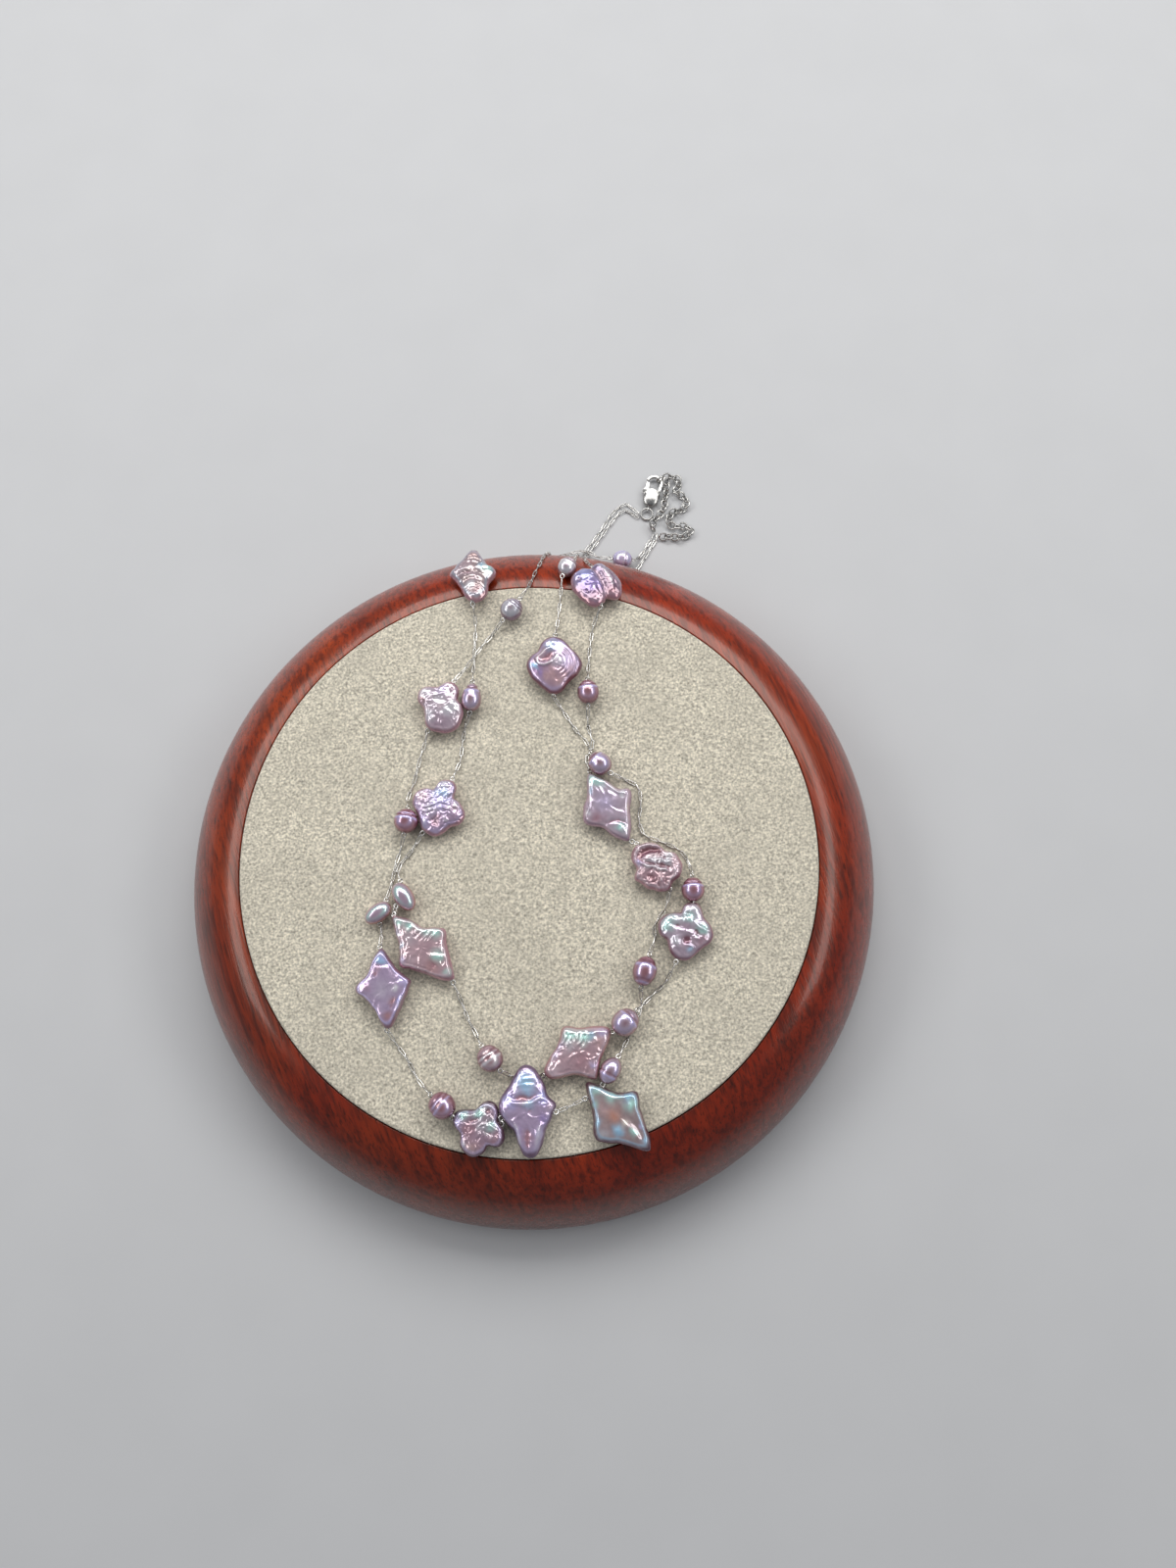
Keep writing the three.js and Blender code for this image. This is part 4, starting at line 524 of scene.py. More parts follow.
def outline_reach(pearl, bearing):
    """Reach of a shaped pearl's outline at bearings in degrees, smooth through the points of its table."""
    rows = np.array(pearl["outline"], dtype=float)
    turns = np.concatenate([rows[:, 0] - 360, rows[:, 0], rows[:, 0] + 360])
    reaches = np.tile(rows[:, 1], 3)
    slopes = np.gradient(reaches, turns)
    bearing = np.asarray(bearing, dtype=float) % 360
    i = np.clip(np.searchsorted(turns, bearing, side="right") - 1, 0, len(turns) - 2)
    gap = turns[i + 1] - turns[i]
    t = (bearing - turns[i]) / gap
    return ((2 * t ** 3 - 3 * t ** 2 + 1) * reaches[i] + (t ** 3 - 2 * t ** 2 + t) * gap * slopes[i]
            + (3 * t ** 2 - 2 * t ** 3) * reaches[i + 1] + (t ** 3 - t ** 2) * gap * slopes[i + 1])


def place_pearl(pearl):
    """Where a pearl lies, as a matrix, and the two mouths of its hole in its own frame."""
    small = "length" in pearl
    height = pearl["width"] if small else pearl["thick"]
    radius = math.hypot(pearl["x"], pearl["y"])
    z = rest_height(radius, height / 2 + REST_GAP) + pearl.get("raise", 0.0)
    place = Matrix.Translation((pearl["x"], pearl["y"], z))
    if small:
        place = place @ Matrix.Rotation(math.radians(pearl["turn"]), 4, "Z")
        place = place @ Matrix.Rotation(math.radians(pearl.get("slope", 0)), 4, "Y")
    elif "lean" in pearl:
        out = math.atan2(pearl["y"], pearl["x"])
        axis = Vector((-math.sin(out), math.cos(out), 0.0))
        place = place @ Matrix.Rotation(math.radians(pearl["lean"]), 4, axis)
    bearing = math.radians(pearl.get("thread", pearl.get("turn", 0)) - (pearl["turn"] if small else 0))
    along = Vector((math.cos(bearing), math.sin(bearing), 0.0))
    start = Vector((pearl.get("along", pearl.get("threadX", 0.0)), pearl.get("threadY", 0.0), 0.0))

    def inside(point):
        if small:
            return (2 * point.x / pearl["length"]) ** 2 + (2 * point.y / pearl["width"]) ** 2 < 1
        return point.length < float(outline_reach(pearl, math.degrees(math.atan2(point.y, point.x))))

    mouths = []
    for sign in (-1, 1):
        point = start.copy()
        while inside(point):
            point += along * sign * MOUTH_STEP
        mouths.append(point)
    return place, mouths


PLACES = {pearl["name"]: place_pearl(pearl) for pearl in SMALL_PEARLS + SHAPED_PEARLS}


# ---------------------------------------------------------------------------------------------------------
# Helpers for meshes and objects
# ---------------------------------------------------------------------------------------------------------

def linear(colour):
    """An sRGB colour as a linear array."""
    colour = np.asarray(colour, dtype=float)
    return np.where(colour <= 0.04045, colour / 12.92, ((colour + 0.055) / 1.055) ** 2.4)


def rgba(colour):
    return (*linear(colour), 1.0)


def shade(colour, factor):
    """A colour made darker or lighter."""
    return tuple(min(c * factor, 1.0) for c in colour)


def smoothstep(low, high, value):
    share = np.clip((value - low) / (high - low), 0, 1)
    return share * share * (3 - 2 * share)


def waves(points, size, seed, count=9):
    """A smooth random field over points, between about -1 and 1, whose features are size wide."""
    rng = np.random.default_rng(seed)
    total = np.zeros(len(points))
    for _ in range(count):
        direction = rng.normal(size=points.shape[1])
        direction /= np.linalg.norm(direction)
        length = size * rng.uniform(0.7, 1.6)
        total += np.sin(points @ direction * (2 * math.pi / length) + rng.uniform(0, 2 * math.pi))
    return total / math.sqrt(count) / 1.4


def seed_of(pearl):
    """A seed of a pearl's own, from its name."""
    return sum(ord(c) for c in pearl["name"])


def linked(name, data):
    """A new object in the scene that holds this data."""
    made = bpy.data.objects.new(name, data)
    bpy.context.collection.objects.link(made)
    return made


def mesh_object(name, points, faces, scale=MM):
    mesh = bpy.data.meshes.new(name)
    mesh.from_pydata([tuple(p) for p in np.asarray(points) * scale], [], faces)
    mesh.validate()
    mesh.shade_smooth()
    return linked(name, mesh)


def settle(made):
    """Applies every modifier of an object by taking its evaluated mesh, and leaves none."""
    graph = bpy.context.evaluated_depsgraph_get()
    evaluated = bpy.data.meshes.new_from_object(made.evaluated_get(graph))
    made.modifiers.clear()
    made.data = evaluated
    return made


def join_meshes(first, *others):
    """Joins plain mesh objects into the first."""
    with bpy.context.temp_override(active_object=first, object=first,
                                   selected_editable_objects=[first, *others]):
        bpy.ops.object.join()


def circle(sides):
    """Points (x, y) at even steps round a circle with a radius of 1."""
    return [(math.cos(2 * math.pi * k / sides), math.sin(2 * math.pi * k / sides)) for k in range(sides)]


def skin_faces(rows, sides, start, poles, inward=False):
    """Faces of a closed skin over rows of points, the first numbered start, with a pole at each end."""
    faces = []
    top = start + (rows - 1) * sides
    for k in range(sides):
        after = (k + 1) % sides
        faces.append((poles[0], start + after, start + k))
        for a in range(start, top, sides):
            faces.append((a + k, a + after, a + sides + after, a + sides + k))
        faces.append((top + k, top + after, poles[1]))
    return [(face[0], *face[:0:-1]) for face in faces] if inward else faces


def wire(rings, base=0):
    """Points and faces of a wire with flat ends, from its rings of points, the first numbered base."""
    sides = len(rings[0])
    last = base + (len(rings) - 1) * sides
    faces = []
    for a in range(base, last, sides):
        for k in range(sides):
            after = (k + 1) % sides
            faces.append((a + k, a + after, a + sides + after, a + sides + k))
    faces.append(tuple(base + k for k in reversed(range(sides))))
    faces.append(tuple(last + k for k in range(sides)))
    return [point for ring in rings for point in ring], faces


def rod(start, end, past, radius, sides, base=0):
    """Points and faces of a straight wire that runs a little past both of its ends."""
    turn = (end - start).normalized().to_track_quat("Z", "Y").to_matrix()
    half = ((end - start).length + 2 * past) / 2
    middle = (start + end) / 2
    return wire([[turn @ Vector((radius * x, radius * y, z)) + middle for x, y in circle(sides)]
                 for z in (-half, half)], base)


def lathe(name, profile, sides):
    """A closed solid turned about Z from (radius, height) points that start and end on the axis."""
    points = [(0.0, 0.0, profile[0][1])]
    for radius, height in profile[1:-1]:
        points += [(radius * x, radius * y, height) for x, y in circle(sides)]
    points.append((0.0, 0.0, profile[-1][1]))
    faces = skin_faces(len(profile) - 2, sides, 1, (0, len(points) - 1))
    return mesh_object(name, points, faces)


# ---------------------------------------------------------------------------------------------------------
# Helpers for nodes
# ---------------------------------------------------------------------------------------------------------

def feed(tree, node, inputs):
    """Sets inputs of a node, by name or number, each to a value or to another node's output."""
    for key, value in inputs.items():
        if isinstance(value, bpy.types.NodeSocket):
            tree.links.new(value, node.inputs[key])
        else:
            node.inputs[key].default_value = value


def add_node(tree, kind, inputs=None, **settings):
    made = tree.nodes.new(kind)
    for key, value in settings.items():
        setattr(made, key, value)
    feed(tree, made, inputs or {})
    return made


def ramp(tree, factor, stops):
    made = add_node(tree, "ShaderNodeValToRGB", {"Fac": factor})
    elements = made.color_ramp.elements
    while len(elements) < len(stops):
        elements.new(0.5)
    for element, (place, colour) in zip(elements, stops):
        element.position = place
        element.color = rgba(colour)
    return made.outputs["Color"]


def mapped(tree, scale=(1, 1, 1), turn=0.0):
    """Object coordinates, turned about Z and scaled."""
    where = add_node(tree, "ShaderNodeTexCoord").outputs["Object"]
    turned = add_node(tree, "ShaderNodeMapping", {"Rotation": (0, 0, math.radians(turn)), "Vector": where})
    scaled = add_node(tree, "ShaderNodeMapping", {"Scale": scale, "Vector": turned.outputs["Vector"]})
    return scaled.outputs["Vector"]


def noise(tree, vector, scale, detail=3.0, roughness=0.5, distortion=0.0):
    return add_node(tree, "ShaderNodeTexNoise", {
        "Scale": scale, "Detail": detail, "Roughness": roughness, "Distortion": distortion, "Vector": vector,
    }).outputs["Fac"]


def mix_colour(tree, factor, first, second, blend="MIX"):
    return add_node(tree, "ShaderNodeMix", {0: factor, 6: first, 7: second}, data_type="RGBA",
                    blend_type=blend).outputs[2]


def spread(tree, value, low, high, from_low=0.0, from_high=1.0):
    return add_node(tree, "ShaderNodeMapRange", {
        "From Min": from_low, "From Max": from_high, "To Min": low, "To Max": high, "Value": value,
    }).outputs["Result"]


def bump(tree, height, strength, distance):
    return add_node(tree, "ShaderNodeBump",
                    {"Strength": strength, "Distance": distance, "Height": height}).outputs["Normal"]


def new_material(name):
    material = bpy.data.materials.new(name)
    material.use_nodes = True
    tree = material.node_tree
    return material, tree, tree.nodes["Principled BSDF"]


# ---------------------------------------------------------------------------------------------------------
# Materials
# ---------------------------------------------------------------------------------------------------------

def padauk_wood(settings):
    """Red-brown polished wood: straight streaks and short dark pores that run across the disc, and a painted
    shade that darkens it towards the front.
    """
    material, tree, shader = new_material("padauk_wood")
    along = mapped(tree, (1.0, 0.05, 1.0), settings.grain_turn)
    broad = noise(tree, along, 110.0, 3.0, 0.5, 0.2)
    streak = noise(tree, along, 760.0, 4.0, 0.6, 0.1)
    pore = noise(tree, mapped(tree, (1.0, 0.045, 1.0), settings.grain_turn), 2600.0, 2.0, 0.5)
    patch = noise(tree, mapped(tree), 14.0, 2.0)
    depth = add_node(tree, "ShaderNodeSeparateXYZ", {0: mapped(tree)}).outputs["Y"]
    base = ramp(tree, broad, [(0.28, (0.49, 0.175, 0.06)), (0.48, tuple(settings.wood_colour)),
                              (0.66, (0.60, 0.24, 0.085)), (0.80, (0.65, 0.28, 0.10))])
    lines = ramp(tree, streak, [(0.36, (0.52, 0.43, 0.40)), (0.56, (1.0, 1.0, 1.0))])
    streaked = mix_colour(tree, 0.75, base, lines, "MULTIPLY")
    patched = mix_colour(tree, spread(tree, patch, 0.0, 0.5, 0.45, 0.7), streaked,
                         rgba((0.72, 0.32, 0.16)), "OVERLAY")
    # Painted shade: the wood is darker and redder towards the front and lighter and warmer towards the back.
    painted_front_shade = ramp(tree, spread(tree, depth, 0.0, 1.0, -0.1, 0.1),
                      [(0.0, (0.80, 0.66, 0.66)), (1.0, (1.0, 0.96, 0.90))])
    front_shaded_colour = mix_colour(tree, 1.0, patched, painted_front_shade, "MULTIPLY")
    pores = ramp(tree, pore, [(0.32, (0.35, 0.28, 0.26)), (0.44, (1.0, 1.0, 1.0))])
    feed(tree, shader, {
        "Base Color": mix_colour(tree, 0.7, front_shaded_colour, pores, "MULTIPLY"),
        "Roughness": spread(tree, streak, 0.34, 0.22), "Normal": bump(tree, pore, 0.25, 0.0002),
        "Specular Tint": (1.0, 0.82, 0.70, 1.0),
        "Coat Weight": 0.25, "Coat Roughness": 0.10, "Coat IOR": 1.5,
    })
    return material


def suede(settings):
    """Cream microsuede with a short mottled nap."""
    material, tree, shader = new_material("cream_suede")
    where = mapped(tree)
    mottle = noise(tree, where, 1500.0, 4.0, 0.7)
    cloud = noise(tree, where, 60.0, 3.0, 0.5)
    hair = noise(tree, where, 3600.0, 2.0, 0.6, 1.2)
    pale = tuple(settings.pad_colour)
    base = ramp(tree, mottle, [(0.30, shade(pale, 0.60)), (0.50, pale), (0.68, shade(pale, 1.27))])
    cloudy = mix_colour(tree, spread(tree, cloud, 0.0, 0.35, 0.35, 0.7), base, rgba(shade(pale, 0.86)))
    feed(tree, shader, {
        "Base Color": cloudy, "Roughness": 0.95, "Specular IOR Level": 0.2,
        "Sheen Weight": 0.25, "Sheen Roughness": 0.5, "Normal": bump(tree, hair, 0.6, 0.0003),
    })
    return material


def suede_fibre(settings):
    """The nap's single fibres, lighter at random."""
    material, tree, shader = new_material("suede_fibre")
    pale = tuple(settings.pad_colour)
    speck = noise(tree, mapped(tree), 900.0, 2.0)
    colour = ramp(tree, speck, [(0.35, shade(pale, 0.82)), (0.62, shade(pale, 1.22))])
    feed(tree, shader, {"Base Color": colour, "Roughness": 0.85, "Sheen Weight": 0.3})
    return material


def nacre(name, settings, film):
    """Nacre: the colours painted on the surface, painted highlights, reflections and shade among them, under
    a glossy skin with a thin film.
    """
    material, tree, shader = new_material(name)
    # The nacre attribute holds the pearl's own colours together with its painted highlights, painted
    # reflections and painted shade.
    painted_colour_and_light = add_node(tree, "ShaderNodeAttribute", attribute_name="nacre").outputs["Color"]
    where = mapped(tree)
    mottle = noise(tree, where, 700.0, 4.0, 0.6, 0.6)
    grain = noise(tree, where, 3500.0, 2.0, 0.5)
    veil = ramp(tree, mottle, [(0.3, (0.78, 0.74, 0.80)), (0.7, (1, 1, 1))])
    feed(tree, shader, {
        "Base Color": mix_colour(tree, 0.35, painted_colour_and_light, veil, "MULTIPLY"),
        "Roughness": spread(tree, mottle, settings.gloss * 0.7, settings.gloss * 1.3),
        "Metallic": 0.45, "IOR": 1.6, "Coat Weight": 0.85, "Coat Roughness": 0.06, "Coat IOR": 1.55,
        "Thin Film Thickness": film, "Thin Film IOR": 1.45, "Normal": bump(tree, grain, 0.08, 0.0001),
    })
    return material


def silver(name, colour, roughness):
    """Bright white metal with fine rubbing marks and a little tarnish in patches."""
    material, tree, shader = new_material(name)
    where = mapped(tree)
    rub = noise(tree, where, 2600.0, 2.0, 0.5)
    tarnish = noise(tree, where, 350.0, 2.0, 0.5)
    feed(tree, shader, {
        "Base Color": ramp(tree, tarnish, [(0.30, shade(colour, 0.78)), (0.60, colour)]), "Metallic": 1.0,
        "Roughness": spread(tree, rub, roughness * 0.7, roughness * 1.5),
        "Normal": bump(tree, rub, 0.05, 0.0001),
    })
    return material


# ---------------------------------------------------------------------------------------------------------
# Geometry Nodes
# ---------------------------------------------------------------------------------------------------------

def new_group(name, sockets):
    """A Geometry Nodes tree with a geometry going in and out, and these inputs by name and type."""
    tree = bpy.data.node_groups.new(name, "GeometryNodeTree")
    tree.interface.new_socket("Geometry", in_out="OUTPUT", socket_type="NodeSocketGeometry")
    tree.interface.new_socket("Geometry", in_out="INPUT", socket_type="NodeSocketGeometry")
    for socket, kind in sockets.items():
        tree.interface.new_socket(socket, in_out="INPUT", socket_type="NodeSocket" + kind)
    return tree, add_node(tree, "NodeGroupInput").outputs


def finish_group(tree, instances, material):
    real = add_node(tree, "GeometryNodeRealizeInstances", {"Geometry": instances})
    smooth = add_node(tree, "GeometryNodeSetShadeSmooth", {0: real.outputs[0]})
    dressed = add_node(tree, "GeometryNodeSetMaterial", {"Geometry": smooth.outputs[0], "Material": material})
    add_node(tree, "NodeGroupOutput", {0: dressed.outputs[0]})


def math_node(tree, operation, first, second):
    return add_node(tree, "ShaderNodeMath", {0: first, 1: second}, operation=operation).outputs[0]


def wire_links_group():
    """Puts a closed wire link on each point, lengthwise along the point's 'along', rolled by its 'roll'."""
    tree, given = new_group("Wire Links", {
        "Link Length": "Float", "Link Width": "Float", "Wire": "Float", "Roll Jitter": "Float",
        "Seed": "Int", "Material": "Material",
    })
    bore = math_node(tree, "MULTIPLY", given["Wire"], 2.0)
    length = math_node(tree, "SUBTRACT", given["Link Length"], bore)
    width = math_node(tree, "SUBTRACT", given["Link Width"], bore)
    loop = add_node(tree, "GeometryNodeCurvePrimitiveQuadrilateral", {"Width": length, "Height": width})
    bend = add_node(tree, "GeometryNodeFilletCurve", {
        "Curve": loop.outputs[0], "Radius": math_node(tree, "MULTIPLY", width, 0.49), "Count": 3,
        "Limit Radius": True,
    }, mode="POLY")
    section = add_node(tree, "GeometryNodeCurvePrimitiveCircle", {"Resolution": 6, "Radius": given["Wire"]})
    link = add_node(tree, "GeometryNodeCurveToMesh",
                    {"Curve": bend.outputs[0], "Profile Curve": section.outputs[0]})
    along = add_node(tree, "GeometryNodeInputNamedAttribute", {"Name": "along"}, data_type="FLOAT_VECTOR")
    roll = add_node(tree, "GeometryNodeInputNamedAttribute", {"Name": "roll"}, data_type="FLOAT")
    level = add_node(tree, "FunctionNodeAlignRotationToVector", {"Vector": along.outputs[0]}, axis="X")
    upright = add_node(tree, "FunctionNodeAlignRotationToVector",
                       {"Vector": (0, 0, 1), "Rotation": level.outputs[0]}, axis="Z", pivot_axis="X")
    jitter = add_node(tree, "FunctionNodeRandomValue", {
        2: math_node(tree, "MULTIPLY", given["Roll Jitter"], -1.0), 3: given["Roll Jitter"],
        8: given["Seed"],
    }, data_type="FLOAT")
    rolled = add_node(tree, "FunctionNodeAxisAngleToRotation", {
        "Axis": (1, 0, 0), "Angle": math_node(tree, "ADD", roll.outputs[0], jitter.outputs[1]),
    })
    turned = add_node(tree, "FunctionNodeRotateRotation",
                      {"Rotation": upright.outputs[0], "Rotate By": rolled.outputs[0]},
                      rotation_space="LOCAL")
    placed = add_node(tree, "GeometryNodeInstanceOnPoints", {
        "Points": given["Geometry"], "Instance": link.outputs[0], "Rotation": turned.outputs[0],
    })
    finish_group(tree, placed.outputs[0], given["Material"])
    return tree


def nap_group():
    """Scatters short fibres over the faces that look up or out, lying at random bearings."""
    tree, given = new_group("Suede Nap", {
        "Density": "Float", "Fibre Length": "Float", "Fibre Radius": "Float", "Seed": "Int",
        "Material": "Material",
    })
    normal = add_node(tree, "GeometryNodeInputNormal")
    height = add_node(tree, "ShaderNodeSeparateXYZ", {0: normal.outputs[0]})
    facing = add_node(tree, "FunctionNodeCompare", {0: height.outputs["Z"], 1: 0.1}, data_type="FLOAT",
                      operation="GREATER_THAN")
    points = add_node(tree, "GeometryNodeDistributePointsOnFaces", {
        "Mesh": given["Geometry"], "Selection": facing.outputs[0], "Density": given["Density"],
        "Seed": given["Seed"],
    })
    fibre = add_node(tree, "GeometryNodeMeshCone", {
        "Vertices": 3, "Radius Top": 0.0, "Radius Bottom": given["Fibre Radius"],
        "Depth": given["Fibre Length"],
    })
    turn = add_node(tree, "FunctionNodeRandomValue",
                    {0: (0.9, 0.0, 0.0), 1: (1.5, 0.0, 6.283), 8: given["Seed"]}, data_type="FLOAT_VECTOR")
    rotation = add_node(tree, "FunctionNodeEulerToRotation", {0: turn.outputs[0]})
    size = add_node(tree, "FunctionNodeRandomValue", {2: 0.6, 3: 1.3, 8: given["Seed"]}, data_type="FLOAT")
    placed = add_node(tree, "GeometryNodeInstanceOnPoints", {
        "Points": points.outputs[0], "Instance": fibre.outputs[0], "Rotation": rotation.outputs[0],
        "Scale": size.outputs[1],
    })
    finish_group(tree, placed.outputs[0], given["Material"])
    return tree


def run_group(made, tree, values, name):
    """Runs a tree on an object, with its inputs set by their identifiers, and makes the result plain."""
    modifier = made.modifiers.new(tree.name, "NODES")
    modifier.node_group = tree
    for item in tree.interface.items_tree:
        if item.in_out == "INPUT" and item.name in values:
            modifier[item.identifier] = values[item.name]
    settle(made)
    made.name = made.data.name = name
    return made


def points_object(name, rows):
    """A mesh of loose points from (place, along, roll), with the attributes that the wire links read."""
    mesh = bpy.data.meshes.new(name)
    mesh.from_pydata([tuple(place * MM) for place, along, roll in rows], [], [])
    along = mesh.attributes.new("along", "FLOAT_VECTOR", "POINT")
    along.data.foreach_set("vector", np.array([tuple(row[1]) for row in rows], dtype=float).ravel())
    roll = mesh.attributes.new("roll", "FLOAT", "POINT")
    roll.data.foreach_set("value", np.array([row[2] for row in rows], dtype=float))
    return linked(name, mesh)


# ---------------------------------------------------------------------------------------------------------
# The stand
# ---------------------------------------------------------------------------------------------------------

def build_wood(settings):
    seat = PAD_TOP - PAD_THICKNESS - SEAT_GAP
    lip = PAD_RADIUS + SEAT_GAP
    foot = []
    for k in range(1, FOOT_STEPS):
        angle = k / FOOT_STEPS * math.pi / 2
        foot.append((FOOT_RADIUS + (WOOD_RADIUS - FOOT_RADIUS) * math.sin(angle),
                     NOSE_BOTTOM * (1 - math.cos(angle))))
    nose = [nose_point(k / NOSE_STEPS, 0) for k in range(NOSE_STEPS)]
    nose = [point for point in nose if point[0] > lip + 0.2]
    profile = [(0, 0), (20, 0), (60, 0), (FOOT_RADIUS - 1, 0), (FOOT_RADIUS, 0), *foot, *nose,
               (lip + 0.15, WOOD_TOP), (lip, WOOD_TOP - 0.12), (lip, seat + 0.1), (lip - 0.1, seat),
               (60, seat), (20, seat), (0, seat)]
    wood = lathe("turned_wood_base", profile, WOOD_SIDES)
    wood.data.materials.append(padauk_wood(settings))
    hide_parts("wood_base")
    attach(wood, BODY)


def build_pad(settings):
    under = PAD_TOP - PAD_THICKNESS
    crown = settings.pad_crown / MM
    flat = PAD_RADIUS - SUEDE_ROUND
    rounded = [(flat + SUEDE_ROUND * math.cos(a), PAD_TOP - crown - SUEDE_ROUND + SUEDE_ROUND * math.sin(a))
               for a in (0.0, 0.4, 0.8, 1.2, math.pi / 2)]
    top = [(flat - k * PAD_STEP, PAD_TOP - crown * (1 - k / PAD_STEPS) ** 2) for k in range(1, PAD_STEPS)]
    profile = [(0, under), (40, under), (PAD_RADIUS - 0.3, under), (PAD_RADIUS, under + 0.3), *rounded, *top,
               (0, PAD_TOP)]
    pad = lathe("suede_covered_pad", profile, PAD_SIDES)
    points = np.empty(len(pad.data.vertices) * 3)
    pad.data.vertices.foreach_get("co", points)
    points = points.reshape(-1, 3)
    above = points[:, 2] > (PAD_TOP - 1.5) * MM
    swell = waves(points[:, :2] / MM, 22.0, 3) * 0.05 + waves(points[:, :2] / MM, 5.0, 4) * 0.02
    points[:, 2] += np.where(above, np.minimum(swell, 0.04) - 0.04, 0.0) * MM
    pad.data.vertices.foreach_set("co", points.ravel())
    pad.data.materials.append(suede(settings))
    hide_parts("suede_pad")
    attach(pad, BODY)

    nap = run_group(linked("nap_source", pad.data.copy()), nap_group(), {
        "Density": settings.nap_density, "Fibre Length": settings.nap_length,
        "Fibre Radius": settings.nap_length * 0.07, "Seed": 11, "Material": suede_fibre(settings),
    }, "suede_nap")
    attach(nap, BODY)


# ---------------------------------------------------------------------------------------------------------
# The pearls
# ---------------------------------------------------------------------------------------------------------

def line_distance(points, line):
    """Distance from 2-D points to a line through corners, and how far along it the nearest place is."""
    if len(line) == 1:
        return np.hypot(points[:, 0] - line[0][0], points[:, 1] - line[0][1]), np.full(len(points), 0.5)
    best = np.full(len(points), 1e9)
    share = np.zeros(len(points))
    steps = len(line) - 1
    for k in range(steps):
        a, b = np.array(line[k]), np.array(line[k + 1])
        run = b - a
        t = np.clip(((points - a) @ run) / (run @ run), 0, 1)
        distance = np.linalg.norm(points - (a + t[:, None] * run), axis=1)
        closer = distance < best
        best = np.where(closer, distance, best)
        share = np.where(closer, (k + t) / steps, share)
    return best, share


def curved(line, steps=5):
    """Corners joined by a smooth curve through them."""
    if len(line) < 3:
        return [tuple(p) for p in line]
    points = [np.array(p, dtype=float) for p in line]
    points = [2 * points[0] - points[1], *points, 2 * points[-1] - points[-2]]
    result = []
    for i in range(1, len(points) - 2):
        a, b, c, d = points[i - 1: i + 3]
        for k in range(steps):
            t = k / steps
            result.append(tuple(0.5 * (2 * b + (c - a) * t + (2 * a - 5 * b + 4 * c - d) * t * t
                                       + (3 * b - a - 3 * c + d) * t ** 3)))
    result.append(tuple(points[-2]))
    return result


def surface_relief(pearl, flat, rho, settings):
    """Height of the folds, ripples and crumples of a shaped pearl at flat points, in millimetres."""
    relief = np.zeros(len(flat))
    for height, width, line in pearl["folds"]:
        distance, share = line_distance(flat, curved(line))
        ends = 1.0 if len(line) == 1 else 0.35 + 0.65 * np.sin(np.pi * np.clip(share, 0.04, 0.96)) ** 0.7
        relief += height * np.exp(-(distance / width) ** 2) * ends
    for x, y, first, gap, count, height, start, end in pearl.get("ripples", ()):
        away = np.hypot(flat[:, 0] - x, flat[:, 1] - y)
        bearing = np.degrees(np.arctan2(flat[:, 1] - y, flat[:, 0] - x))
        half = (end - start) / 2
        off = np.abs((bearing - (start + end) / 2 + 180) % 360 - 180)
        inside = smoothstep(half, half * 0.6, off) * smoothstep(first - gap, first, away)
        inside *= smoothstep(first + gap * count, first + gap * (count - 1), away)
        relief += height * np.cos((away - first) / gap * 2 * np.pi) * inside
    height, size = pearl["crumple"]
    seed = seed_of(pearl)
    warp = np.stack([waves(flat, size * 2, seed + 1), waves(flat, size * 2, seed + 2)], axis=1) * size * 0.35
    relief += height * (1 - 2 * np.abs(waves(flat + warp, size * 1.8, seed)))
    relief += height * 0.6 * waves(flat + warp, size * 0.7, seed + 3)
    height, inset, width = pearl["rim"]
    strength = 0.65 + 0.35 * waves(flat, 6.0, seed + 5)
    relief += height * strength * np.exp(-((rho - (1 - inset)) / width) ** 2)
    return relief * settings.relief * smoothstep(1.0, 0.9, rho)


def painted(pearl, flat, rho, relief, lower):
    """The painted colour of each point, linear: body, tints with painted highlights and sheen among them,
    painted highlights on the crests, painted shade in the creases, a painted highlight line along the rim,
    and the skirt with a painted dark reflection at the edge.
    """
    seed = seed_of(pearl)
    colour = np.tile(linear(NACRE[pearl["body"]]), (len(flat), 1))

    def blend(name, share):
        nonlocal colour
        share = np.clip(share, 0, 1)[:, None]
        colour = colour * (1 - share) + linear(NACRE[name]) * share

    warp = np.stack([waves(flat, 3.0, seed + 7), waves(flat, 3.0, seed + 8)], axis=1) * 0.5
    # The tints are partly the nacre's own tones and partly painted highlights and painted iridescent sheen.
    for name, x, y, radius, strength in pearl["tints_and_highlights"]:
        away = np.hypot(flat[:, 0] + warp[:, 0] - x, flat[:, 1] + warp[:, 1] - y)
        blend(name, strength * np.exp(-(away / radius) ** 2))
    # Painted highlight: white on the crests of the relief.
    blend("white", 0.45 * smoothstep(0.16, 0.50, relief))
    # Painted shade: the deep colour in the creases and dimples.
    blend(pearl["crease_shade"], 0.8 * smoothstep(-0.08, -0.42, relief))
    height, inset, width = pearl["rim"]
    # Painted highlight: a line of colour along the rim's ridge, on the upper side only.
    line = (0.15 + 2 * height) * np.exp(-((rho - 1 + inset) / width) ** 2)
    blend(RIM_HIGHLIGHT_LINES.get(pearl["body"], "blush"), line * ~lower)
    # The pearl's deeper edge colour with a painted dark reflection: the skirt darkens the edge and covers the
    # underside.
    edge = smoothstep(0.87, 0.955, rho + 0.02 * waves(flat, 2.5, seed + 9))
    blend(pearl["skirt_and_dark_reflection"], 0.85 * np.where(lower, 1.0, edge))
    return colour


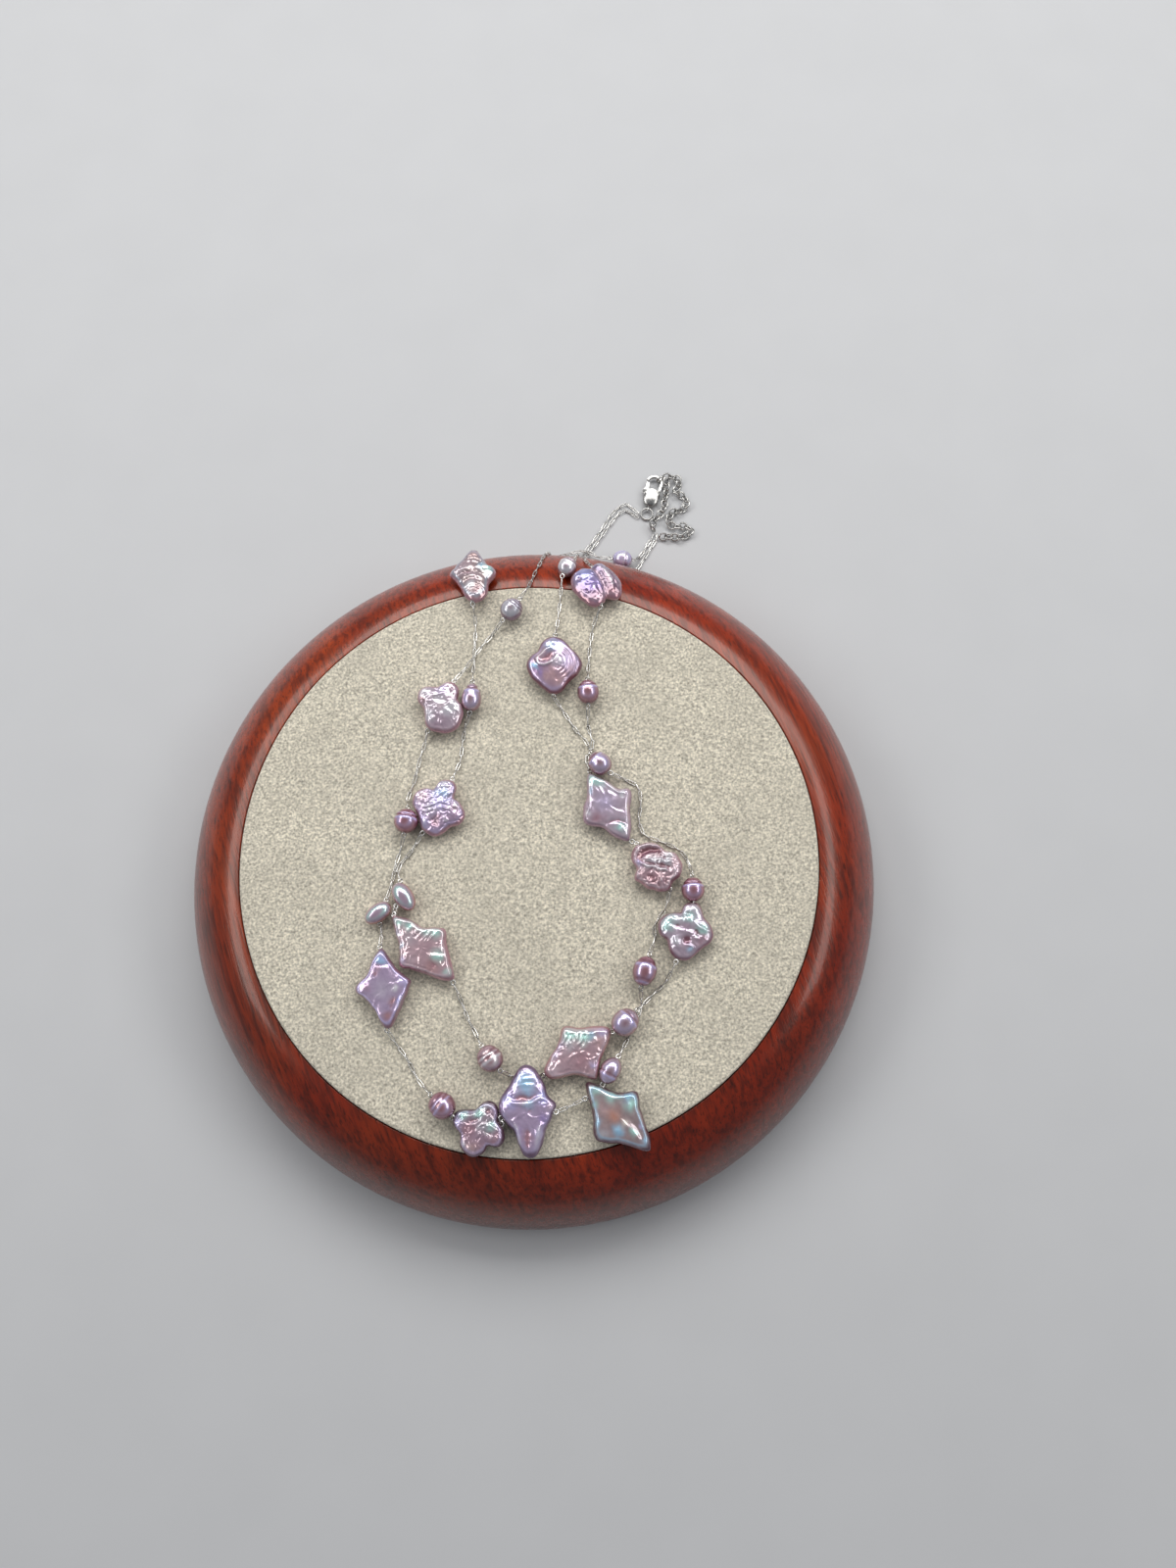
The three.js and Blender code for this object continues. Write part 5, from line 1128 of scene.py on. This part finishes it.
def shaped_mesh(pearl, settings):
    """A closed cushion on the pearl's outline, with the relief on its upper side."""
    spokes, upper, lower = settings.spokes, settings.rings, max(settings.rings // 3, 4)
    around = np.array(circle(spokes))
    uneven = 1 + UNEVEN * waves(around, 0.5, seed_of(pearl) + 11)
    reach = outline_reach(pearl, np.arange(spokes) * 360.0 / spokes) * uneven + settings.grown / MM
    shares = [np.sin(np.pi / 2 * k / upper) ** ROW_POWER for k in range(1, upper + 1)]
    below = [np.sin(np.pi / 2 * k / lower) ** ROW_POWER for k in range(1, lower)]
    rho = np.concatenate([np.repeat(shares, spokes), np.repeat(below[::-1], spokes), [0.0, 0.0]])
    side = np.concatenate([np.ones(upper * spokes), -np.ones(len(below) * spokes), [1.0, -1.0]])
    rows = upper + len(below)
    flat = np.concatenate([np.tile(around * reach[:, None], (rows, 1)), np.zeros((2, 2))]) * rho[:, None]
    top = side > 0
    swell = np.sqrt(np.clip(1 - rho ** np.where(top, pearl["full"], BELOW_POWER), 0, 1))
    relief = np.where(top, surface_relief(pearl, flat, rho, settings), 0.0)
    z = side * pearl["thick"] / 2 * swell * np.where(top, TOP_SHARE, 1.0) + relief
    points = np.column_stack([flat[:, 0], flat[:, 1], z])
    faces = skin_faces(rows, spokes, 0, (rows * spokes, rows * spokes + 1), inward=True)
    return points, faces, painted(pearl, flat, rho, relief, ~top)


def small_mesh(pearl, settings):
    """An oval turned about its long axis, with grooves round it, a taper and a slightly uneven skin."""
    spokes, rows = BALL_SPOKES, BALL_ROWS
    seed = seed_of(pearl)
    places = np.sin(np.pi / 2 * np.linspace(-1, 1, rows + 2)[1:-1])
    angles = np.arange(spokes) * 2 * np.pi / spokes
    along = np.repeat(places, spokes)
    radius = np.sqrt(1 - along ** 2) ** BALL_BLUNT * (1 - pearl.get("taper", 0.0) * along)
    groove = np.zeros_like(along)
    for place, width, depth in pearl.get("rings", ()):
        past = along - place + 0.025 * np.tile(np.sin(angles * 2 + seed), rows)
        groove += depth * np.exp(-(past / width) ** 2)
        groove -= 0.4 * depth * np.exp(-((past + width * 2.1) / width) ** 2)
    across, upward = np.tile(np.cos(angles), rows), np.tile(np.sin(angles), rows)
    ball = np.vstack([np.column_stack([along, radius * across, radius * upward]), [[-1, 0, 0], [1, 0, 0]]])
    groove = np.concatenate([groove, [0, 0]])
    half = np.array([pearl["length"], pearl["width"], pearl["width"]]) / 2 + settings.grown / MM
    skin = 1 + UNEVEN * waves(ball, 0.9, seed) + 0.004 * waves(ball, 0.3, seed + 1)
    points = ball * half * skin[:, None]
    points[:, 1:] *= (1 - groove * 2 / pearl["width"] * settings.relief)[:, None]
    faces = skin_faces(rows, spokes, 0, (rows * spokes, rows * spokes + 1))
    return points, faces, groove, ball


def small_colour(pearl, groove, ball, turning):
    """A small pearl's painted colours: a painted dark reflection round its rim, a painted highlight arch
    round a painted dark reflection at its heart, and its grooves with painted shade in them and painted
    highlights on their ridges.
    """
    body, rim, painted_highlight_arch, painted_dark_reflection = (linear(NACRE[tone]) for tone in TONES[pearl["tone"]])
    normal = ball / np.array([pearl["length"], pearl["width"], pearl["width"]])
    normal = (normal / np.linalg.norm(normal, axis=1)[:, None]) @ turning.T
    low = normal[:, 1] + 0.12
    away = np.hypot(normal[:, 0], low)
    up = normal[:, 2] > 0
    colour = np.tile(body, (len(ball), 1))
    for tone, share in (
            # painted highlight: a bright arch round the heart, on the upper side
            (painted_highlight_arch, 0.7 * np.exp(-((away - 0.5) / 0.16) ** 2) * smoothstep(-0.7, 0.0, low) * up),
            # painted dark reflection at the heart
            (painted_dark_reflection, 0.6 * np.exp(-(away / 0.27) ** 2) * up),
            # painted dark reflection round the rim, where the surface turns away from the top
            (rim, 0.9 * smoothstep(0.64, 0.34, normal[:, 2])),
            # painted shade in the grooves
            (rim, 0.75 * np.clip(groove / 0.10, 0, 1)),
            # painted highlight on the ridges beside the grooves
            (painted_highlight_arch, 0.8 * np.clip(-groove / 0.04, 0, 1) * smoothstep(0.2, 0.6, normal[:, 2]))):
        colour = colour * (1 - share[:, None]) + tone * share[:, None]
    return colour


def drill(made, name, mouths):
    """Cuts the thread's hole through a pearl that is still in its own frame."""
    cutter = mesh_object(name + "_drill", *rod(*mouths, DRILL_PAST, HOLE_RADIUS, DRILL_SIDES))
    cut = made.modifiers.new("hole", "BOOLEAN")
    cut.operation = "DIFFERENCE"
    cut.solver = "MANIFOLD"
    cut.object = cutter
    settle(made)
    bpy.data.objects.remove(cutter)


def build_pearls(settings):
    slots = {row["node"]: row["material_slot"] for row in frame["record"]["subparts"]}
    films = {"rose_pearl": 380.0, "mauve_pearl": 340.0, "lavender_pearl": 420.0, "silver_pearl": 300.0}
    skins = {slot: nacre(slot + "_nacre", settings, film) for slot, film in films.items()}
    for pearl in SMALL_PEARLS + SHAPED_PEARLS:
        place, mouths = PLACES[pearl["name"]]
        if "length" in pearl:
            points, faces, groove, ball = small_mesh(pearl, settings)
            colour = small_colour(pearl, groove, ball, np.array(place.to_3x3()))
        else:
            points, faces, colour = shaped_mesh(pearl, settings)
        made = mesh_object(pearl["name"] + "_skin", points, faces)
        # The painted colour layer: body colours with painted highlights, painted reflections and painted
        # shade.
        layer = made.data.attributes.new("nacre", "FLOAT_COLOR", "POINT")
        layer.data.foreach_set("color", np.column_stack([colour, np.ones(len(colour))]).ravel())
        drill(made, pearl["name"], mouths)
        scaled = place.copy()
        scaled.translation *= MM
        made.data.transform(scaled)
        made.data.materials.clear()
        slot = slots[pearl["name"]]
        made.data.materials.append(skins[slot])
        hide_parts(pearl["name"])
        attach(made, BODY)


# ---------------------------------------------------------------------------------------------------------
# The strands
# ---------------------------------------------------------------------------------------------------------

def over_nose(start, end):
    """The chain's way over the stand's edge, between a point on its top and one beside it."""
    rising = math.hypot(*start) > math.hypot(*end)
    high, low = (end, start) if rising else (start, end)
    bearings = [math.atan2(y, x) for x, y in (high, low)]
    radii = [math.hypot(*point) for point in (high, low)]
    top = nose_turn(radii[0], CHAIN_LIFT)
    steps = [nose_point(top * (1 - k / 10), CHAIN_LIFT) for k in range(11)]
    widest = WOOD_RADIUS + CHAIN_LIFT
    steps += [(widest + (radii[1] - widest) * 0.25, NOSE_BOTTOM / 2), (radii[1], CHAIN_LIFT)]
    stations = []
    for radius, height in steps:
        share = (radius - radii[0]) / (radii[1] - radii[0])
        bearing = bearings[0] + (bearings[1] - bearings[0]) * share
        stations.append(Vector((radius * math.cos(bearing), radius * math.sin(bearing), height)))
    return stations[::-1] if rising else stations


def free_point(row, lift):
    if row[0] == "floor":
        return Vector((*row[1], lift))
    z = row[2] if len(row) == 3 else rest_height(math.hypot(row[0], row[1]), lift)
    return Vector((row[0], row[1], z))


def strand_runs(route):
    """The chain's free runs and the pearls' holes, for each stretch: [{"runs": [...], "holes": [...]}]."""
    stretches = [{"runs": [], "holes": []}]
    run, last = [], None
    for row in route:
        if row == "split":
            stretches.append({"runs": [], "holes": []})
        elif isinstance(row, str):
            place, mouths = PLACES[row]
            mouths = [place @ mouth for mouth in mouths]
            here = run[-1] if run else last
            if (here - mouths[1]).length < (here - mouths[0]).length:
                mouths.reverse()
            run.append(mouths[0])
            stretches[-1]["runs"].append((run, last is not None))
            stretches[-1]["holes"].append(mouths)
            last = mouths[1]
            run = [mouths[1]]
        elif row[0] == "nose":
            run += over_nose(row[1], row[2])
        else:
            run.append(free_point(row, CHAIN_LIFT))
    stretches[-1]["runs"].append((run, last is not None))
    return stretches


def eased_run(run):
    """A run with its landings on the pad put in."""
    result = [run[0]]
    for a, b in zip(run, run[1:]):
        flat = math.hypot(b.x - a.x, b.y - a.y)
        on_pad = math.hypot(a.x, a.y) < PAD_RADIUS and math.hypot(b.x, b.y) < PAD_RADIUS
        if on_pad and abs(a.z - b.z) > 1 and flat > LANDING * 1.4:
            share = LANDING / flat if a.z > b.z else 1 - LANDING / flat
            landing = a.lerp(b, share)
            landing.z = min(a.z, b.z)
            result.append(landing)
        result.append(b)
    return result


def measured(points):
    """A smooth curve through points, and how far along it each of its own points is."""
    fine = [Vector(p) for p in curved([tuple(p) for p in points], 10)]
    lengths = [0.0]
    for a, b in zip(fine, fine[1:]):
        lengths.append(lengths[-1] + (b - a).length)
    return fine, lengths


def along_curve(fine, lengths, distance):
    i = int(np.searchsorted(lengths, distance)) - 1
    i = min(max(i, 0), len(fine) - 2)
    span = max(lengths[i + 1] - lengths[i], 1e-9)
    share = (distance - lengths[i]) / span
    return fine[i].lerp(fine[i + 1], share), (fine[i + 1] - fine[i]).normalized()


def build_strands(settings, metal):
    links = wire_links_group()
    pitch, length = settings.link_pitch / MM, settings.link_length / MM
    eye = settings.eye_radius / MM
    lifted = 2 * eye + 0.2
    for strand, route in STRANDS.items():
        for number, (stretch, name) in enumerate(zip(strand_runs(route), STRETCHES)):
            chain, eyes = [], []
            for run, after_pearl in stretch["runs"]:
                to_pearl = run is not stretch["runs"][-1][0] or number < 3
                fine, lengths = measured(eased_run(run))
                total = lengths[-1]
                ends = [(min(eye + 0.1, total / 2), (-0.3, 0.5))] if after_pearl else []
                ends += [(max(total - eye - 0.1, total / 2), (-0.4, 0.2))] if to_pearl else []
                for at, rolls in ends:
                    eyes.append((*along_curve(fine, lengths, at), rolls[len(eyes) % 2]))
                start = lifted if after_pearl else 0.0
                end = total - (lifted if to_pearl else 0.0)
                free = end - start + 0.5
                amount = max(int(round((free - length) / pitch)) + 1, 1) if free > 0.4 else 0
                low, high = start - 0.25 + length / 2, end + 0.25 - length / 2
                for k in range(amount):
                    at = low + (high - low) * k / (amount - 1) if amount > 1 else (start + end) / 2
                    roll = math.pi / 2 - 0.1 if len(chain) % 2 else 0.15
                    chain.append((*along_curve(fine, lengths, at), roll))
            node = f"{strand}_{name}"
            made = run_group(points_object(node, chain), links, {
                "Link Length": settings.link_length, "Link Width": settings.link_width,
                "Wire": settings.wire_radius, "Roll Jitter": 0.35, "Seed": 5 + number, "Material": metal,
            }, node + "_links")
            loops = run_group(points_object(node + "_eyes", eyes), links, {
                "Link Length": settings.eye_radius * 2.3, "Link Width": settings.eye_radius * 2,
                "Wire": settings.wire_radius * 1.35, "Roll Jitter": 0.3, "Seed": 9 + number,
                "Material": metal,
            }, node + "_loops")
            pins = hole_wires(stretch["holes"], settings.wire_radius / MM * 1.15, node + "_pins", metal)
            join_meshes(made, loops, *pins)
            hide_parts(node)
            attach(made, BODY)


def hole_wires(holes, radius, name, metal):
    """The straight wires through the pearls, from eye to eye, as one object in a list, or none."""
    points, faces = [], []
    for start, end in holes:
        more_points, more_faces = rod(start, end, PIN_PAST, radius, PIN_SIDES, len(points))
        points += more_points
        faces += more_faces
    if not holes:
        return []
    made = mesh_object(name, points, faces)
    made.data.materials.append(metal)
    return [made]


# ---------------------------------------------------------------------------------------------------------
# The fittings
# ---------------------------------------------------------------------------------------------------------

def swept_wire(name, path, radii, sides=14):
    """A round wire along 3-D points, with its own radius at each."""
    rings = []
    side = None
    for i, middle in enumerate(path):
        tangent = (path[min(i + 1, len(path) - 1)] - path[max(i - 1, 0)]).normalized()
        if side is None:
            side = tangent.orthogonal().normalized()
        side = (side - tangent * side.dot(tangent)).normalized()
        up = tangent.cross(side)
        rings.append([middle + (side * x + up * y) * radii[i] for x, y in circle(sides)])
    return mesh_object(name, *wire(rings))


def domed(path, radius, steps=4):
    """Path points and radii of a wire of even radius whose two ends are rounded."""
    angles = [math.pi / 2 * (k + 0.4) / steps for k in range(steps)]
    first = (path[0] - path[1]).normalized() * radius * 0.5
    last = (path[-1] - path[-2]).normalized() * radius * 0.5
    points = [path[0] + first * math.cos(a) for a in angles] + path
    points += [path[-1] + last * math.cos(a) for a in reversed(angles)]
    rounded = [radius * math.sin(a) for a in angles]
    return points, rounded + [radius] * len(path) + rounded[::-1]


def build_rings(metal):
    """The jump ring, the connector ring and the hooked link: bent wire whose ends meet at a fine join."""
    for ring in RINGS:
        place = (Matrix.Translation(ring["at"]) @ Matrix.Rotation(math.radians(ring["turn"]), 4, "Z")
                 @ Matrix.Rotation(math.radians(-ring["tilt"]), 4, "Y"))
        bend = []
        for k in range(RING_STEPS + 1):
            share = k / RING_STEPS
            a = math.radians(ring["join"] + JOIN_GAP + (360 - 2 * JOIN_GAP) * share)
            bend.append(place @ Vector((ring["radius"] * math.cos(a), ring["radius"] * math.sin(a),
                                        JOIN_STEP * (share - 0.5))))
        made = swept_wire(ring["name"] + "_wire", *domed(bend, ring["wire"]))
        made.data.materials.append(metal)
        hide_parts(ring["name"])
        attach(made, BODY)


def build_extenders(settings, metal):
    links = wire_links_group()
    for name, route in EXTENDERS.items():
        fine, lengths = measured([free_point(row, EXTENDER_LIFT) for row in route])
        amount = int(round(lengths[-1] / (settings.extender_pitch / MM)))
        chain = []
        for k in range(amount + 1):
            place, along = along_curve(fine, lengths, lengths[-1] * k / amount)
            chain.append((place + Vector((0, 0, LINK_RISE)), along, -0.75 if k % 2 else 0.6))
        made = run_group(points_object(name, chain), links, {
            "Link Length": settings.extender_link, "Link Width": settings.extender_link * 0.86,
            "Wire": settings.extender_wire, "Roll Jitter": 0.3, "Seed": 21, "Material": metal,
        }, name + "_links")
        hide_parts(name)
        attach(made, BODY)


def domed_belly(made):
    """Rounds the flat faces of the clasp's belly, thinnest at its edge."""
    place = (Matrix.Translation((CLASP["x"] * MM, CLASP["y"] * MM, 0.0))
             @ Matrix.Rotation(math.radians(CLASP["turn"]), 4, "Z"))
    back = place.inverted()
    u, v, half_width, half_length = CLASP["body"]
    middle = CLASP["middle"] * MM
    for vertex in made.data.vertices:
        here = back @ vertex.co
        edge = math.hypot((here.x / MM - u) / (half_width * 1.05), (here.y / MM - v) / (half_length * 1.1))
        share = float(smoothstep(5.6, 3.4, here.y / MM))
        dome = 1.15 * math.sqrt(max(1 - 0.86 * edge ** 2, 0.05))
        vertex.co.z = middle + (vertex.co.z - middle) * (1 + share * (dome - 1))


def softened(node, name, voxel, rounds):
    """A fine cast copy of a CAD node: its doubles merged, then remeshed and relaxed to round its edges."""
    made = linked(name, frame["nodes"][node].data.copy())
    weld = made.modifiers.new("weld", "WELD")
    weld.merge_threshold = 1e-6
    remesh = made.modifiers.new("remesh", "REMESH")
    remesh.mode = "VOXEL"
    remesh.voxel_size = voxel
    relax = made.modifiers.new("relax", "SMOOTH")
    relax.factor = 0.5
    relax.iterations = rounds
    settle(made)
    domed_belly(made)
    made.data.shade_smooth()
    made.data.materials.clear()
    return made


def build_clasp(settings, metal):
    body = softened("clasp_body", "clasp_body_cast", settings.clasp_voxel, settings.clasp_rounds)
    body.data.materials.append(metal)
    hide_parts("clasp_body")
    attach(body, BODY)
    lever = softened("clasp_lever", "clasp_lever_cast", settings.clasp_voxel, settings.clasp_rounds)
    lever.data.materials.append(metal)
    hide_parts("clasp_lever")
    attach(lever, LEVER)


# ---------------------------------------------------------------------------------------------------------
# The stage
# ---------------------------------------------------------------------------------------------------------

def area_light(name, at, towards, size, power):
    data = bpy.data.lights.new(name, "AREA")
    data.shape = "RECTANGLE"
    data.size, data.size_y = size
    data.energy = power
    made = linked(name, data)
    made.location = at
    made.rotation_mode = "QUATERNION"
    made.rotation_quaternion = (Vector(towards) - Vector(at)).to_track_quat("-Z", "Y")


def build_stage(settings):
    scene = bpy.context.scene
    half = FLOOR_HALF
    floor = mesh_object("floor", [(-half, -half, 0), (half, -half, 0), (half, half, 0), (-half, half, 0)],
                        [(0, 1, 2, 3)], scale=1.0)
    material, tree, shader = new_material("pale_floor")
    speck = noise(tree, mapped(tree), 40.0, 3.0)
    pale = tuple(settings.floor_colour)
    feed(tree, shader, {"Base Color": ramp(tree, speck, [(0.3, shade(pale, 0.99)), (0.7, pale)]),
                        "Roughness": 0.7})
    floor.data.materials.append(material)

    world = bpy.data.worlds.new("studio")
    world.use_nodes = True
    feed(world.node_tree, world.node_tree.nodes["Background"],
         {"Color": rgba((0.86, 0.88, 0.92)), "Strength": settings.fill})
    scene.world = world
    power = settings.key_power
    area_light("back_soft", (0.05, 0.62, 0.72), (0, 0.05, 0.02), (1.0, 0.46), power)
    area_light("left_soft", (-0.62, 0.16, 0.62), (0, 0, 0.02), (0.8, 0.26), power * 0.42)
    area_light("right_soft", (0.66, 0.16, 0.62), (0, 0, 0.02), (0.8, 0.24), power * 0.36)

    data = bpy.data.cameras.new("camera")
    data.sensor_width = 36.0
    data.lens = CAMERA_LENS
    data.clip_start = 0.01
    camera = linked("camera", data)
    right, up = Vector(CAMERA_RIGHT), Vector(CAMERA_UP)
    turn = Matrix((right, up, right.cross(up).normalized())).transposed()
    camera.rotation_mode = "QUATERNION"
    camera.rotation_quaternion = turn.to_quaternion()
    camera.location = CAMERA_AT
    scene.camera = camera
    scene.view_settings.view_transform = "Standard"


# ---------------------------------------------------------------------------------------------------------
# Settings, operators and panel
# ---------------------------------------------------------------------------------------------------------

class StandSettings(bpy.types.PropertyGroup):
    """Sizes and colours of the stand."""
    wood_colour: FloatVectorProperty(name="Wood colour", description="Main red-brown of the wood, sRGB",
                                     subtype="COLOR_GAMMA", default=(0.55, 0.205, 0.072), min=0, max=1)
    grain_turn: FloatProperty(name="Grain turn", description="Bearing of the grain, in degrees",
                              default=-20.0)
    pad_colour: FloatVectorProperty(name="Pad colour", description="Main cream of the suede, sRGB",
                                    subtype="COLOR_GAMMA", default=(0.785, 0.755, 0.685), min=0, max=1)
    pad_crown: FloatProperty(name="Pad crown", description="How far the pad's middle stands above its edge",
                             default=0.00015, unit="LENGTH", precision=5)
    nap_density: FloatProperty(name="Nap density", description="Fibres for each square metre of the pad",
                               default=1.3e6)
    nap_length: FloatProperty(name="Nap length", description="Length of a fibre of the nap",
                              default=0.00045, unit="LENGTH", precision=5)


class PearlSettings(bpy.types.PropertyGroup):
    """Detail and finish of the pearls."""
    relief: FloatProperty(name="Relief", description="Strength of the pearls' folds and grooves",
                          default=1.0, min=0, max=2)
    grown: FloatProperty(name="Grown", description="How far the skin stands out beyond the table's sizes",
                         default=0.0002, unit="LENGTH", precision=5)
    gloss: FloatProperty(name="Gloss roughness", description="Roughness of the nacre under its skin",
                         default=0.2, min=0, max=1)
    spokes: IntProperty(name="Spokes", description="Faces round a shaped pearl", default=176, min=16)
    rings: IntProperty(name="Rings", description="Faces from the middle to the rim", default=40, min=6)


class ChainSettings(bpy.types.PropertyGroup):
    """Sizes of the fine chain, the eyes and the extender."""
    link_pitch: FloatProperty(name="Link pitch", description="From link to link of the fine chain",
                              default=0.0023, unit="LENGTH", precision=5)
    link_length: FloatProperty(name="Link length", description="Outer length of a fine link",
                               default=0.0029, unit="LENGTH", precision=5)
    link_width: FloatProperty(name="Link width", description="Outer width of a fine link",
                              default=0.00102, unit="LENGTH", precision=5)
    wire_radius: FloatProperty(name="Wire radius", description="Radius of the fine links' wire",
                               default=0.00016, unit="LENGTH", precision=5)
    eye_radius: FloatProperty(name="Eye radius", description="Outer radius of the loops at the pearls",
                              default=0.00075, unit="LENGTH", precision=5)
    extender_link: FloatProperty(name="Extender link", description="Outer length of an extender link",
                                 default=0.0030, unit="LENGTH", precision=5)
    extender_pitch: FloatProperty(name="Extender pitch", description="From link to link of the extender",
                                  default=0.0018, unit="LENGTH", precision=5)
    extender_wire: FloatProperty(name="Extender wire", description="Radius of the extender's wire",
                                 default=0.00027, unit="LENGTH", precision=5)
    metal_colour: FloatVectorProperty(name="Metal colour", description="Bright white metal, sRGB",
                                      subtype="COLOR_GAMMA", default=(0.90, 0.89, 0.87), min=0, max=1)


class ClaspSettings(bpy.types.PropertyGroup):
    """Finish of the clasp."""
    clasp_voxel: FloatProperty(name="Clasp detail", description="Fineness of the cast surface",
                               default=0.00009, unit="LENGTH", precision=6)
    clasp_rounds: IntProperty(name="Clasp rounding", description="How often the edges are relaxed",
                              default=6, min=0)


class StageSettings(bpy.types.PropertyGroup):
    """Light and floor."""
    key_power: FloatProperty(name="Key power", description="Power of the main soft light, in watts",
                             default=6.6, min=0)
    fill: FloatProperty(name="Fill", description="Strength of the even light from all round",
                        default=0.29, min=0)
    floor_colour: FloatVectorProperty(name="Floor colour", description="The plain pale floor, sRGB",
                                      subtype="COLOR_GAMMA", default=(0.74, 0.74, 0.74), min=0, max=1)


class NECKLACE_OT_stage(bpy.types.Operator):
    """Makes the pale floor, the soft lights and the camera"""
    bl_idname = "necklace.stage"
    bl_label = "Stage"

    def execute(self, context):
        build_stage(context.scene.necklace_stage)
        return {"FINISHED"}


class NECKLACE_OT_stand(bpy.types.Operator):
    """Turns the wooden base and covers its pad with suede"""
    bl_idname = "necklace.stand"
    bl_label = "Display Stand"

    def execute(self, context):
        build_wood(context.scene.necklace_stand)
        build_pad(context.scene.necklace_stand)
        return {"FINISHED"}


class NECKLACE_OT_pearls(bpy.types.Operator):
    """Shapes, paints and drills the pearls"""
    bl_idname = "necklace.pearls"
    bl_label = "Pearls"

    def execute(self, context):
        build_pearls(context.scene.necklace_pearls)
        return {"FINISHED"}


class NECKLACE_OT_strands(bpy.types.Operator):
    """Links the fine chain of both strands, with the eyes at the pearls"""
    bl_idname = "necklace.strands"
    bl_label = "Strands"

    def execute(self, context):
        settings = context.scene.necklace_chain
        build_strands(settings, silver("chain_silver", tuple(settings.metal_colour), 0.2))
        return {"FINISHED"}


class NECKLACE_OT_fittings(bpy.types.Operator):
    """Bends the rings and the extender's links, and casts the clasp with its lever"""
    bl_idname = "necklace.fittings"
    bl_label = "Clasp and Extender"

    def execute(self, context):
        chain = context.scene.necklace_chain
        metal = silver("fitting_silver", shade(chain.metal_colour, 0.86), 0.24)
        build_rings(metal)
        build_extenders(chain, metal)
        build_clasp(context.scene.necklace_clasp, metal)
        return {"FINISHED"}


class NECKLACE_PT_panel(bpy.types.Panel):
    """Lists the builders and their settings in the sidebar"""
    bl_idname = "NECKLACE_PT_panel"
    bl_label = "Pearl Necklace"
    bl_space_type = "VIEW_3D"
    bl_region_type = "UI"
    bl_category = "Necklace"

    def draw(self, context):
        for operator in OPERATORS:
            self.layout.operator(operator.bl_idname)
        for group in SETTINGS:
            settings = getattr(context.scene, group)
            box = self.layout.box()
            for name in settings.__annotations__:
                box.prop(settings, name)


SETTINGS = {
    "necklace_stand": StandSettings, "necklace_pearls": PearlSettings, "necklace_chain": ChainSettings,
    "necklace_clasp": ClaspSettings, "necklace_stage": StageSettings,
}
OPERATORS = (NECKLACE_OT_stage, NECKLACE_OT_stand, NECKLACE_OT_pearls, NECKLACE_OT_strands,
             NECKLACE_OT_fittings)
CLASSES = (*SETTINGS.values(), *OPERATORS, NECKLACE_PT_panel)


def register():
    for made in CLASSES:
        bpy.utils.register_class(made)
    for name, group in SETTINGS.items():
        setattr(bpy.types.Scene, name, PointerProperty(type=group))


def unregister():
    for name in SETTINGS:
        delattr(bpy.types.Scene, name)
    for made in reversed(CLASSES):
        bpy.utils.unregister_class(made)


def main():
    register()
    bpy.ops.necklace.stage()
    bpy.ops.necklace.stand()
    bpy.ops.necklace.pearls()
    bpy.ops.necklace.strands()
    bpy.ops.necklace.fittings()


if __name__ == "__main__":
    main()
